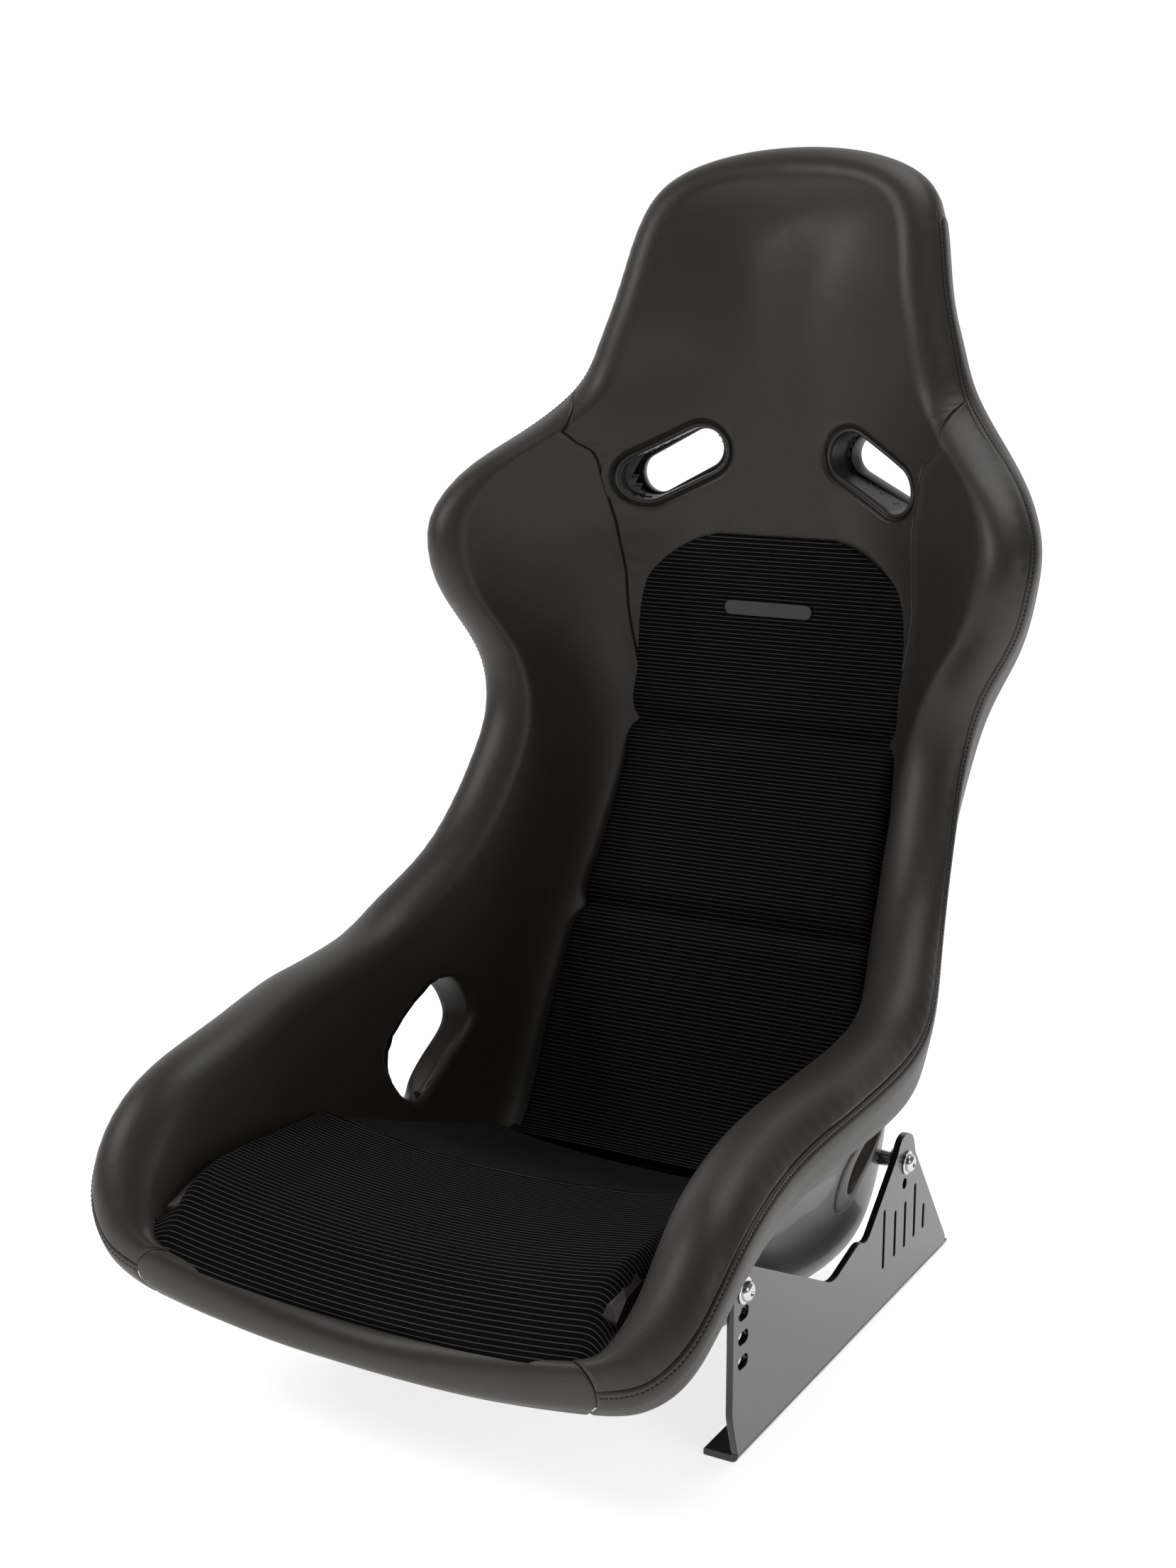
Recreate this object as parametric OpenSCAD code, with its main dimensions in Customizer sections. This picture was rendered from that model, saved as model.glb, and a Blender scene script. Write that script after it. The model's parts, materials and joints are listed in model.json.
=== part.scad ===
// Fixed-back bucket seat: moulded shell, padded covers, two pull-off
// cushions, belt guides and a pair of L-shaped side mounts.
// Millimetres. Z up, the seat faces -Y, X is left-right. The origin is the
// middle of the floor bolt pattern, level with the underside of the feet.

/* [Shell and covers] */
// Laminate thickness of the shell
shell_t = 4; // [3:0.5:4.5]
// Thickness of the leather covers
cover_t = 1.8; // [1.2:0.1:2]
// Thickness left between the cover and the pad for glue and scrim
glue_gap = 2.4; // [2:0.1:3]

/* [Side mounts] */
// Distance over the outer faces of the two side mounts
mount_span = 418.4; // [416:0.2:422]
// Plate thickness of a side mount
plate_t = 5; // [4:0.5:5]
// Width of the foot that is turned inwards
foot_w = 26; // [24:1:30]
// Distance from the front to the rear floor bolt
floor_pitch_y = 320; // [300:5:340]
// Hole for an M8 floor bolt
floor_hole_d = 8.5; // [8.4:0.1:9]
// Distance across the floor bolts
floor_pitch_x = 388; // [386:1:390]

/* [Seat bolts] */
// Nominal size of the seat bolts
bolt_d = 8; // [8:1:8]
// Position of the front seat bolt along the seat
front_bolt_y = -191.6; // [-194:0.2:-190]
// Height of the front seat bolt
front_bolt_z = 123.8; // [120:0.2:125]
// Position of the rear seat bolt along the seat
rear_bolt_y = 97.6; // [96:0.2:99]
// Height of the rear seat bolt
rear_bolt_z = 108; // [106:0.5:110]

/* [Belt openings] */
// Distance between the end centres of a shoulder belt opening
slot_run = 50; // [40:1:56]
// Height of a shoulder belt opening
slot_w = 38; // [36:1:42]
// Outward lean of the belt tunnel
slot_lean = 15; // [10:1:18]

/* [Cushions] */
// Height of the back cushion above the cover beside it
back_proud = 9; // [6:0.5:12]
// Height of the seat cushion in the middle of the thigh support
seat_top = 152; // [146:1:156]

/* [Hidden] */
leather = [0.16, 0.155, 0.145];
fabric = [0.07, 0.07, 0.075];
grp = [0.12, 0.125, 0.13];
black = [0.04, 0.04, 0.04];
steel = [0.75, 0.75, 0.77];
foamc = [0.45, 0.45, 0.42];

// Middle line of the padding, front to head: [y, z]
spine_pts = [[-330,70],[-250,76],[-150,68],[-40,52],[45,40],[102,44],[138,84],[168,154],
  [203,230],[248,320],[277,400],[288,480],[290,565],[290,650],[295,730],[305,800],[322,850]];
// Half of the rim, front middle to head middle. Each row is a station:
// [place on the middle line, foot of the rim, share of flat base,
//  rim x, y, z, wall angle, roll radius, seam angle, strip width, pad depth,
//  shell reach, shell rise, curl of the strip, lean of the shell]
stations = [
[1.00,-0.05,.45,0,-336,91,42,17,10,26,14,20,6,-60,52],
[1.05,-0.05,.50,95,-338,97,42,17,10,26,14,20,6,-58,52],
[1.10,0.00,.58,181,-340,112,45,17,12,27,14,24,7,-45,50],
[1.20,0.15,.60,217,-334,127,54,22,12,29,15,26,14,-30,46],
[1.30,0.40,.60,238,-317,156,62,27,15,31,16,28,36,-18,42],
[1.45,0.95,.60,245,-270,198,68,30,20,32,16,36,56,-14,37],
[1.80,1.75,.59,243,-190,219,71,30,20,33,16,46,74,-12,35],
[2.50,2.50,.57,249,-110,229,72,30,20,34,16,52,74,-12,35],
[3.40,3.40,.57,251,-15,237,72,29,20,40,16,58,76,-12,37],
[4.20,4.20,.57,246,42,261,72,28,20,44,16,68,80,-12,42],
[5.60,5.60,.58,229,100,302,72,27,20,44,18,70,80,-12,48],
[7.50,7.50,.54,217,150,369,72,26,20,42,20,58,70,-12,52],
[8.80,8.80,.52,215,172,415,71,25,20,40,22,52,50,-12,52],
[9.90,9.90,.42,226,176,461,68,24,20,38,24,50,44,-12,52],
[10.7,10.7,.36,251,164,505,62,24,22,36,26,50,44,-12,52],
[11.4,11.4,.32,263,159,545,58,24,25,35,28,54,44,-12,52],
[12.0,12.0,.20,262,169,580,55,24,25,34,28,54,40,-12,52],
[12.5,12.5,.15,242,195,614,50,24,25,32,28,50,34,-12,52],
[12.95,12.95,.12,210,229,642,44,24,25,30,28,40,28,-12,52],
[13.35,13.4,.12,176,258,676,36,24,25,28,28,30,20,-12,52],
[13.75,13.85,.12,160,271,714,32,24,20,28,28,24,18,-12,52],
[14.10,14.35,.13,146,281,760,28,24,20,28,28,22,16,-12,52],
[14.40,14.95,.15,136,293,805,26,24,20,28,28,20,16,-12,52],
[14.65,15.70,.17,116,309,845,26,24,20,28,28,20,16,-12,52],
[14.80,16.15,.18,66,323,868,26,24,20,28,28,20,16,-12,52],
[14.90,16.30,.20,0,329,875,26,24,20,28,28,20,16,-12,52]];
n_st = len(stations) - 1;

// Natural cubic spline through evenly numbered rows
function bend(y) = let (n = len(y)-1, z = y[0]*0,
  c = [for (i=0, c=0; i<n; i=i+1, c=1/(4-c)) c],
  d = [for (i=0, d=z; i<n; i=i+1, d=(i<n ? (6*(y[i-1]-2*y[i]+y[i+1])-d)/(4-c[i-1]) : z)) d],
  r = [for (k=n-1, m=z; k>=0; m=(d[k]-c[k]*m), k=k-1) m])
  [for (i=[0:n]) (i==0 || i==n) ? z : r[n-i]];
function at(y, m, t) = let (i = max(0, min(floor(t), len(y)-2)), f = t-i, a = 1-f)
  a*y[i] + f*y[i+1] + ((pow(a,3)-a)*m[i] + (pow(f,3)-f)*m[i+1])/6;
function rate(y, m, t) = let (i = max(0, min(floor(t), len(y)-2)), f = t-i, a = 1-f)
  y[i+1] - y[i] + (-(3*a*a-1)*m[i] + (3*f*f-1)*m[i+1])/6;
spine_m = bend(spine_pts);
function flip_x(r) = [for (k=[0:14]) k==3 ? -r[k] : r[k]];
st_ext = concat([for (i=[3:-1:1]) flip_x(stations[i])], stations,
  [for (i=[1:3]) flip_x(stations[n_st-i])]);
st_m = bend(st_ext);
function unit(v) = v / norm(v);
function side(v) = [0, v[0], v[1]];

// One section: everything needed to place points on it
function sect(t) = let (
  q = at(st_ext, st_m, t+3), f = q[2], sE = q[0]+(q[1]-q[0])*f,
  p = at(spine_pts, spine_m, sE), T = side(rate(spine_pts, spine_m, sE)),
  R = [q[3],q[4],q[5]], E = [q[3]*f, p[0], p[1]],
  D = R-E, A0 = unit((q[1]-q[0])*T + [q[3],0,0]), N0 = unit(D-(D*A0)*A0),
  // over the head the section stands square to the middle line
  k = max(0, min(1, (t-19.5)/2)), w = k*k*(3-2*k), Nb = [0, -T[2], T[1]]/norm(T),
  A = unit((1-w)*A0 + w*unit(D-(D*Nb)*Nb)), N1 = (1-w)*N0 + w*Nb, N = unit(N1-(N1*A)*A),
  O = [D*A, D*N] - q[7]*[cos(q[8]), sin(q[8])],
  Q = O + q[7]*[-sin(q[6]), cos(q[6])], L = norm(Q),
  arc = q[7]*(q[8]-q[13])*PI/180, dn = [sin(q[13]), -cos(q[13])],
  K = O + q[7]*[cos(q[13]), sin(q[13])], W = K + dn*max(2, q[9]-arc),
  P3 = W - 3*[cos(q[13]), sin(q[13])] - 5*dn,
  P2 = P3 - q[12]*[cos(q[14]), sin(q[14])])
  [q, E, A, N, O, Q, [0.27*L, 0], Q-0.38*L*[cos(q[6]), sin(q[6])], K, W, P2, P3, arc, dn];

function bez(a,b,c,d,u) = pow(1-u,3)*a + 3*(1-u)*(1-u)*u*b + 3*(1-u)*u*u*c + u*u*u*d;
function dbez(a,b,c,d,u) = (1-u)*(1-u)*(b-a) + 2*(1-u)*u*(c-b) + u*u*(d-c);
function base_pt(g, u, off) = let (q = g[0], s = q[0]+(q[1]-q[0])*q[2]*u,
  p = at(spine_pts, spine_m, s), T = unit(rate(spine_pts, spine_m, s)))
  [q[3]*q[2]*u, p[0]-T[1]*off, p[1]+T[0]*off];
// Point on the cover: u 0..1 base, 1..2 wall, 2..3 roll, 3..4 strip
function cov(g, u, off) = u <= 1 ? base_pt(g, u, off) :
  let (q = g[0],
   r2 = u <= 2 ? let (v = u-1, c = bez([0,0], g[6], g[7], g[5], v), d = unit(dbez([0,0], g[6], g[7], g[5], v)))
          c + off*[-d[1], d[0]]
      : u <= 3 ? let (a = q[6]+90+(q[8]-q[6]-90)*(u-2)) g[4] + (q[7]+off)*[cos(a), sin(a)]
      : let (w = max(g[12]+2, q[9]), l = (u-3)*w)
          l <= g[12] ? let (a = q[8]-l/q[7]*180/PI) g[4] + (q[7]+off)*[cos(a), sin(a)]
          : g[8] + (l-g[12])*g[13] + off*[cos(q[13]), sin(q[13])])
  g[1] + r2[0]*g[2] + r2[1]*g[3];
// Point on the outside of the shell: v 0..1 base, 1..2 wall
function shl(g, v, off) = v <= 1 ? base_pt(g, v, -g[0][10]-off) :
  let (q = g[0], a = [0,-q[10]], b = [q[11],-q[10]], u = v-1,
   c = bez(a, b, g[10], g[11], u), d = unit(dbez(a, b, g[10], g[11], u)),
   r2 = c + off*[d[1], -d[0]]) g[1] + r2[0]*g[2] + r2[1]*g[3];
// Wall parameter where the cover reaches a given distance from the middle
function u_at(g, x, lo=0, hi=2.3, n=14) = n == 0 ? (lo+hi)/2 :
  let (m = (lo+hi)/2) cov(g, m, 0)[0] < x ? u_at(g, x, m, hi, n-1) : u_at(g, x, lo, m, n-1);
function mir(p) = [-p[0], p[1], p[2]];
function turned(fs) = [for (f=fs) [f[0], f[2], f[1]]];
function span(a, b, n) = [for (i=[0:n]) a+(b-a)*i/n];

// Closed slab between two point grids with the same rows and columns
module slab(top, bot) {
  n = len(top); m = len(top[0]);
  pts = concat([for (r=top) each r], [for (r=bot) each r]);
  h = n*m;
  polyhedron(pts, turned(concat(
    [for (i=[0:n-2], j=[0:m-2]) each [[i*m+j, i*m+j+1, (i+1)*m+j+1], [i*m+j, (i+1)*m+j+1, (i+1)*m+j]]],
    [for (i=[0:n-2], j=[0:m-2]) each [[h+i*m+j, h+(i+1)*m+j+1, h+i*m+j+1], [h+i*m+j, h+(i+1)*m+j, h+(i+1)*m+j+1]]],
    [for (j=[0:m-2]) each [[j, h+j+1, j+1], [j, h+j, h+j+1]]],
    [for (j=[0:m-2], o=(n-1)*m) each [[o+j, o+j+1, h+o+j+1], [o+j, h+o+j+1, h+o+j]]],
    [for (i=[0:n-2]) each [[i*m, (i+1)*m, h+(i+1)*m], [i*m, h+(i+1)*m, h+i*m]]],
    [for (i=[0:n-2]) each [[i*m+m-1, h+(i+1)*m+m-1, (i+1)*m+m-1], [i*m+m-1, h+i*m+m-1, h+(i+1)*m+m-1]]]
  )), convexity=8);
}
// Slab over both halves. Rows run from the middle out; the left half is the
// mirror image. foldA and foldB close the first and last row on themselves.
module fan(top, bot, foldA, foldB) {
  n = len(top); J = len(top[0])-1; c = 2*J+1; h = n*c;
  full = function(r) concat([for (j=[J:-1:1]) mir(r[j])], r);
  pts = concat([for (r=top) each full(r)], [for (r=bot) each full(r)]);
  ix = function(i, j) ((i==0 && foldA) || (i==n-1 && foldB)) ? i*c+J+abs(j-J) : i*c+j;
  polyhedron(pts, turned(concat(
    [for (i=[0:n-2], j=[0:2*J-1]) each [[ix(i,j), ix(i,j+1), ix(i+1,j+1)], [ix(i,j), ix(i+1,j+1), ix(i+1,j)]]],
    [for (i=[0:n-2], j=[0:2*J-1]) each [[h+ix(i,j), h+ix(i+1,j+1), h+ix(i,j+1)], [h+ix(i,j), h+ix(i+1,j), h+ix(i+1,j+1)]]],
    [for (j=[0:2*J-1]) if (!foldA) each [[ix(0,j), h+ix(0,j+1), ix(0,j+1)], [ix(0,j), h+ix(0,j), h+ix(0,j+1)]]],
    [for (j=[0:2*J-1]) if (!foldB) each [[ix(n-1,j), ix(n-1,j+1), h+ix(n-1,j+1)], [ix(n-1,j), h+ix(n-1,j+1), h+ix(n-1,j)]]],
    [for (i=[0:n-2]) each [[ix(i,0), ix(i+1,0), h+ix(i+1,0)], [ix(i,0), h+ix(i+1,0), h+ix(i,0)]]],
    [for (i=[0:n-2]) each [[ix(i,2*J), h+ix(i+1,2*J), ix(i+1,2*J)], [ix(i,2*J), h+ix(i,2*J), h+ix(i+1,2*J)]]]
  )), convexity=8);
}

// ---- belt openings -------------------------------------------------------
// Middle of the shoulder opening on the cover, and its tilt
slot_c = [89, 277, 615.6];
slot_tilt = -28;
module slot_solid(r, run, y0, y1) {
  translate([slot_c[0], slot_c[1], slot_c[2]]) rotate([0,0,-slot_lean]) rotate([0,-slot_tilt,0])
    for (k=[0]) {
      for (s=[-1,1]) translate([s*run/2, y0, 0]) rotate([-90,0,0]) cylinder(r=r, h=y1-y0, $fn=48);
      translate([-run/2, y0, -r]) cube([run, y1-y0, 2*r]);
    }
}
module slot_cut(grow) for (s=[0,1]) mirror([s,0,0]) slot_solid(slot_w/2+grow, slot_run, -60, 90);
// Outline of the hip belt opening seen from the side, [y, z], where it meets
// the cover and where it meets the shell
hip_in = [[50,208],[36,207],[13,198],[-6,188],[-24,178],[-33,169],[-34,158],[-28,146],[-21,135],
  [-12,124],[-3,118],[6,115],[21,118],[38,128],[54,141],[68,151],[77,160],[81,169],[79,182],[72,195],[62,205]];
hip_out = [[54,200],[43,194],[28,186],[12,178],[0,170],[-5,160],[-7,148],[-5,136],[-2,126],
  [3,118],[9,114],[14,115],[24,125],[44,138],[60,148],[70,156],[75,164],[76,172],[74,183],[70,192],[62,199]];
hip_mid = [28, 160];
function swell(p, g) = [for (q=p) q + g*unit(q-hip_mid)];
module hip_prism(grow, x0, x1) {
  n = len(hip_in);
  rings = [for (r=[[x0, hip_in], [178, hip_in], [199, hip_out], [x1, hip_out]]) [for (q=swell(r[1], grow)) [r[0], q[0], q[1]]]];
  polyhedron(concat([for (r=rings) each r], [[x0, hip_mid[0], hip_mid[1]], [x1, hip_mid[0], hip_mid[1]]]),
    concat([for (k=[0:2], i=[0:n-1]) let (j = (i+1)%n) each [[k*n+i, k*n+n+j, k*n+j], [k*n+i, k*n+n+i, k*n+n+j]]],
      [for (i=[0:n-1]) [4*n, i, (i+1)%n]], [for (i=[0:n-1]) [4*n+1, 3*n+(i+1)%n, 3*n+i]]), convexity=6);
}

// ---- shell ---------------------------------------------------------------
sh_u = [0, 0.4, 0.8, 1, 1.14, 1.28, 1.42, 1.58, 1.76, 2];
sh_t = span(0, 25, 50);
boss_x = 197.5;
boss_in = 178;
module bolt_spots() for (p=[[front_bolt_y, front_bolt_z], [rear_bolt_y, rear_bolt_z]])
  for (s=[-1,1]) translate([0, p[0], p[1]]) rotate([0, s*90, 0]) children();
module shell() color(grp) {
  G = [for (t=sh_t) sect(t)];
  B = [for (t=span(3.5, 11.5, 16)) sect(t)];
  bv = [1.14, 1.28, 1.42, 1.58, 1.76];
  difference() {
    union() {
      fan([for (g=G) [for (v=sh_u) shl(g, v, -shell_t)]], [for (g=G) [for (v=sh_u) shl(g, v, 0)]], true, true);
      difference() {
        bolt_spots() translate([0,0,boss_in-6]) cylinder(r=19, h=boss_x-boss_in+6, $fn=40);
        for (s=[0,1]) mirror([s,0,0]) slab([for (g=B) [for (v=bv) shl(g, v, -shell_t-26)]], [for (g=B) [for (v=bv) shl(g, v, -shell_t+0.6)]]);
      }
    }
    bolt_spots() translate([0,0,boss_in+2.5]) cylinder(r=6.2, h=40, $fn=32);
    bolt_spots() translate([0,0,boss_x]) cylinder(r=19.5, h=12, $fn=40);
    slot_cut(3);
    for (s=[0,1]) mirror([s,0,0]) hip_prism(3.5, 130, 290);
  }
}
// ---- foam pads -----------------------------------------------------------
top_off = -cover_t-glue_gap;
function v_of(u) = u <= 1 ? u : 1 + (u-1)*0.36;
under = -shell_t-2.5;
// Rows and columns shared by the side cover and the pad beneath it
sc_ts = concat([2.03], span(2.5, 18, 31), [18.3, 18.6, 18.8, 18.95]);
sc_w = [0, 0.06, 0.12, 0.2, 0.3, 0.42, 0.54, 0.64, 0.74, 0.83, 0.91, 1];
function sc_us(t, ins) = let (a = ins + (t < 14 ? lookup(t, [[13,1.02],[14,neck_u(14)+0.02]]) : neck_u(t)+0.02)) [for (v=sc_w) a+(2.98-a)*v];
module side_foam() color(foamc) difference() {
  G = [for (t=sc_ts) sect(t)];
  us = function(t) concat(sc_us(t, 0.03), [3.25]);
  slab([for (k=[0:len(G)-1]) [for (u=us(sc_ts[k])) cov(G[k], u, top_off)]],
       [for (k=[0:len(G)-1]) [for (u=us(sc_ts[k])) shl(G[k], v_of(u), under)]]);
  hip_prism(3.5, 130, 290);
  slot_cut(7);
  translate([141, front_bolt_y, front_bolt_z]) rotate([0,90,0]) rotate([0,0,7]) cylinder(r=21.3, h=83, $fn=12);
  translate([141, rear_bolt_y, rear_bolt_z]) rotate([0,90,0]) rotate([0,0,7]) cylinder(r=21.3, h=83, $fn=12);
}
module foam_side_right() side_foam();
module foam_side_left() mirror([1,0,0]) side_foam();
module foam_front() color(foamc) {
  G = [for (t=[0, 0.5, 1, 1.5, 1.97]) sect(t)];
  us = [1.06, 1.3, 1.6, 2, 2.2, 2.4, 2.6, 2.8, 3, 3.2];
  rows_t = [for (g=G) [for (u=us) cov(g, u, top_off)]];
  rows_b = [for (g=G) [for (u=us) shl(g, v_of(u), under)]];
  slab(concat([for (i=[4:-1:1]) [for (p=rows_t[i]) mir(p)]], rows_t),
       concat([for (i=[4:-1:1]) [for (p=rows_b[i]) mir(p)]], rows_b));
}
// Edge of the middle panel, where the curved neck seam crosses each station
function neck_u(t) = lookup(t, [[12.9,1.18],[13.7,1.24],[14.3,1.275],[14.93,1.31],[15.6,1.41],[16.3,1.52],
  [16.8,1.6],[17.4,1.72],[17.7,1.85],[18.1,2.02],[18.46,2.25],[18.7,2.48],[18.89,2.72],[19.02,3],[30,3]]);
hc_ts = concat(span(14, 18, 8), [18.3, 18.6, 18.8, 18.95, 19.1], span(19.5, 22, 5), [22.4], span(22.5, 25, 5));
hc_w = [0, 0.15, 0.3, 0.42, 0.52, 0.6, 0.68, 0.76, 0.84, 0.92, 1];
function head_end(t) = t < 19.05 ? neck_u(t)-0.02 : t < 22.45 ? 2.98 : 3.95;
module foam_head() color(foamc) {
  G = [for (t=hc_ts) sect(t)];
  us = function(t) let (e = min(2.98, head_end(t))-0.03) [for (v=hc_w) v*e];
  difference() {
    fan([for (k=[0:len(G)-1]) [for (u=us(hc_ts[k])) cov(G[k], u, top_off-(hc_ts[k] < 22.2 ? 0 : hc_ts[k] < 22.7 ? 5.5 : 1.5))]],
        [for (k=[0:len(G)-1]) [for (u=us(hc_ts[k])) shl(G[k], v_of(u), under)]],
        false, true);
    slot_cut(7);
  }
}
// ---- covers --------------------------------------------------------------
module head_cover() color(leather) {
  G = [for (t=hc_ts) sect(t)];
  us = function(t) let (e = head_end(t)) [for (v=hc_w) v*e];
  difference() {
    fan([for (k=[0:len(G)-1]) [for (u=us(hc_ts[k])) cov(G[k], u, 0)]],
        [for (k=[0:len(G)-1]) [for (u=us(hc_ts[k])) cov(G[k], u, -cover_t)]], false, true);
    slot_cut(7);
  }
}
module side_cover() color(leather) {
  G = [for (t=sc_ts) sect(t)];
  difference() {
    slab([for (k=[0:len(G)-1]) [for (u=sc_us(sc_ts[k], 0)) cov(G[k], u, 0)]],
         [for (k=[0:len(G)-1]) [for (u=sc_us(sc_ts[k], 0)) cov(G[k], u, -cover_t)]]);
    hip_prism(3.5, 130, 290);
    slot_cut(7);
  }
}
module side_cover_right() side_cover();
module side_cover_left() mirror([1,0,0]) side_cover();
module front_roll_cover() color(leather) {
  G = [for (t=[0, 0.5, 1, 1.5, 1.97]) sect(t)];
  us = [1.06, 1.3, 1.6, 2, 2.2, 2.4, 2.6, 2.8, 3, 3.2, 3.4, 3.6, 3.8, 4];
  a = [for (g=G) [for (u=us) cov(g, u, 0)]]; b = [for (g=G) [for (u=us) cov(g, u, u > 3.7 ? -1.1 : -cover_t)]];
  slab(concat([for (i=[4:-1:1]) [for (p=a[i]) mir(p)]], a), concat([for (i=[4:-1:1]) [for (p=b[i]) mir(p)]], b));
}
module outer_strip() color(leather) {
  G = [for (t=concat([2.03], span(2.5, 22, 39), [22.4])) sect(t)];
  us = [3.01, 3.2, 3.4, 3.7, 4];
  slab([for (g=G) [for (u=us) cov(g, u, 0)]], [for (g=G) [for (u=us) cov(g, u, -cover_t)]]);
}
module outer_strip_right() outer_strip();
module outer_strip_left() mirror([1,0,0]) outer_strip();

// ---- cushions ------------------------------------------------------------
// Height of the seat cushion along its middle, front to rear: [y, z]
seat_line = [[-340,104],[-328,110],[-322,124],[-310,138],[-290,148],[-262,seat_top],[-200,seat_top],
  [-143,147],[-128,139],[-80,118],[-30,98],[30,78],[84,66],[120,64]];
module seat_body(lift) {
  G = [for (t=concat(span(0, 8, 16), [8.6, 9.1])) sect(t)];
  edge = function(t) lookup(t, [[0,2.5],[1,2.5],[2,2.5],[2.6,2.3],[3.2,2.0],[4,1.72],[5,1.56],[6,1.5],[7,1.46],[8,1.34],[9,1.2],[9.2,1.16]]);
  tt = concat(span(0, 8, 16), [8.6, 9.1]);
  low = function(g, t) let (e = edge(t)) concat(
    [for (u=[0, 0.4, 0.8, 0.93]) shl(g, u, -shell_t-4.2)],
    [for (v=[0, 0.12, 0.25, 0.4, 0.6, 0.8, 1]) cov(g, 1+(e-1)*v, t < 3 ? 4.6 : 3)]);
  up = function(p, k) let (z = lookup(p[1], seat_line) + 9*pow(p[0]/150, 2) - (k==10 ? 7 : k==9 ? 2 : 0))
    [p[0], p[1], max(z, p[2]+2.5)];
  bots = [for (k=[0:len(G)-1]) low(G[k], tt[k])];
  fan([for (r=bots) [for (k=[0:10]) up(r[k], k)]], bots, true, false);
}
// End panels sewn into the front corners of the seat cushion
module gusset_zone(grow) translate([168-grow, -290, 150]) rotate([0,90,0]) rotate([0,0,12])
  intersection() { translate([0,22,0]) cylinder(r=42+grow, h=60, $fn=40); translate([0,-22,0]) cylinder(r=42+grow, h=60, $fn=40); }
module seat_cushion() color(fabric) difference() {
  seat_body(0);
  for (s=[0,1]) mirror([s,0,0]) gusset_zone(0.35);
}
module gusset() color(leather) intersection() { seat_body(0); gusset_zone(0); }
module seat_gusset_right() gusset();
module seat_gusset_left() mirror([1,0,0]) gusset();

back_ts = concat([9.75], span(10, 15, 10), [15.25, 15.5, 15.65, 15.8]);
// Half width of the back cushion at its face
function back_half(t) = lookup(t, [[9,146],[9.75,146],[10.5,144],[11,139],[11.5,133],[12,128],[13,125],[14,129],[14.4,130],[14.7,127],[15,116],[15.3,101],[15.55,86],[15.7,74],[15.8,60]]);
function back_face(t) = lookup(t, [[9,16],[9.75,17],[11,19],[12,18],[13,15],[14,back_proud+1],[14.7,back_proud],[15.5,back_proud-1],[15.8,back_proud-3]]);
module back_cushion() color(fabric) {
  G = [for (t=back_ts) sect(t)];
  // Columns: over the flat base, then up the wall to the edge
  low = function(k) let (g = G[k], t = back_ts[k], b = g[0][3]*g[0][2], X = back_half(t), w = min(1, X/b), up = k == 0 ? 4.5 : 0) concat(
    [for (v=[0, 0.4, 0.8, 0.93]) t < 14 ? shl(g, v, -shell_t-4.2-up) : cov(g, v*w, 2.4)],
    [for (v=[0, 0.25, 0.5, 0.7, 0.85, 0.95, 1]) cov(g, X > b+1 ? max(u_at(g, b+(X-b)*v), 1) : (0.95+0.05*v)*w, 2.4+up)]);
  hi = function(k) let (g = G[k], t = back_ts[k], X = back_half(t), F = back_face(t),
      lo = low(k), nrm = unit(base_pt(g, 0, 1)-base_pt(g, 0, 0)), o = base_pt(g, 0, 0)) [for (j=[0:10])
    let (x = lo[j][0], e = (lo[j]-o)*nrm,
      h = max(F*(1-0.4*pow(min(1, x/X), 12)), e+2)) [x, o[1]+nrm[1]*h, o[2]+nrm[2]*h]];
  fan([for (k=[0:len(G)-1]) hi(k)], [for (k=[0:len(G)-1]) low(k)], false, false);
}
label_s = 11.2;
module back_label() color(steel) {
  p = at(spine_pts, spine_m, label_s); T = unit(rate(spine_pts, spine_m, label_s));
  translate([0, p[0]-T[1]*(back_proud+3), p[1]+T[0]*(back_proud+3)]) rotate([90,0,0]) {
    translate([-34,-6,-1.6]) cube([68,12,1.6]);
    for (s=[-1,1]) translate([s*34,0,-1.6]) cylinder(r=6, h=1.6, $fn=32);
  }
}
// Hook-and-loop strips glued to the shell behind the cushions
module strip_rows(t0, t1) { G = [for (t=[t0:0.5:t1]) sect(t)];
  slab([for (g=G) [for (u=[0.4, 0.8]) shl(g, u, -shell_t-2.2)]], [for (g=G) [for (u=[0.4, 0.8]) shl(g, u, -shell_t-0.3)]]); }
module back_grip_strips() color(black) for (m=[0,1]) mirror([m,0,0]) { strip_rows(10.5, 11.5); strip_rows(12, 13); }
module seat_grip_strips() color(black) for (m=[0,1]) mirror([m,0,0]) { strip_rows(6, 6.5); strip_rows(7.5, 8); }

// ---- belt guides ---------------------------------------------------------
module guide() color(black) difference() {
  union() {
    slot_solid(slot_w/2+2.4, slot_run, -4, 40);
    slot_solid(slot_w/2+6, slot_run, -4, -1);
  }
  slot_solid(slot_w/2, slot_run, -40, 60);
}
module belt_guide_right() guide();
module belt_guide_left() mirror([1,0,0]) guide();
module guide_ring() color(black) intersection() {
  difference() {
    slot_solid(slot_w/2+9, slot_run, -20, 90);
    slot_solid(slot_w/2+2.8, slot_run, -40, 110);
  }
  G = [for (t=span(14.5, 20, 11)) sect(t)]; vs = [0, 0.4, 0.8, 1, 1.14, 1.28, 1.42, 1.58];
  slab([for (g=G) [for (v=vs) shl(g, v, 0.3)]], [for (g=G) [for (v=vs) shl(g, v, 3.3)]]);
}
module belt_guide_ring_right() guide_ring();
module belt_guide_ring_left() mirror([1,0,0]) guide_ring();
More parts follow.
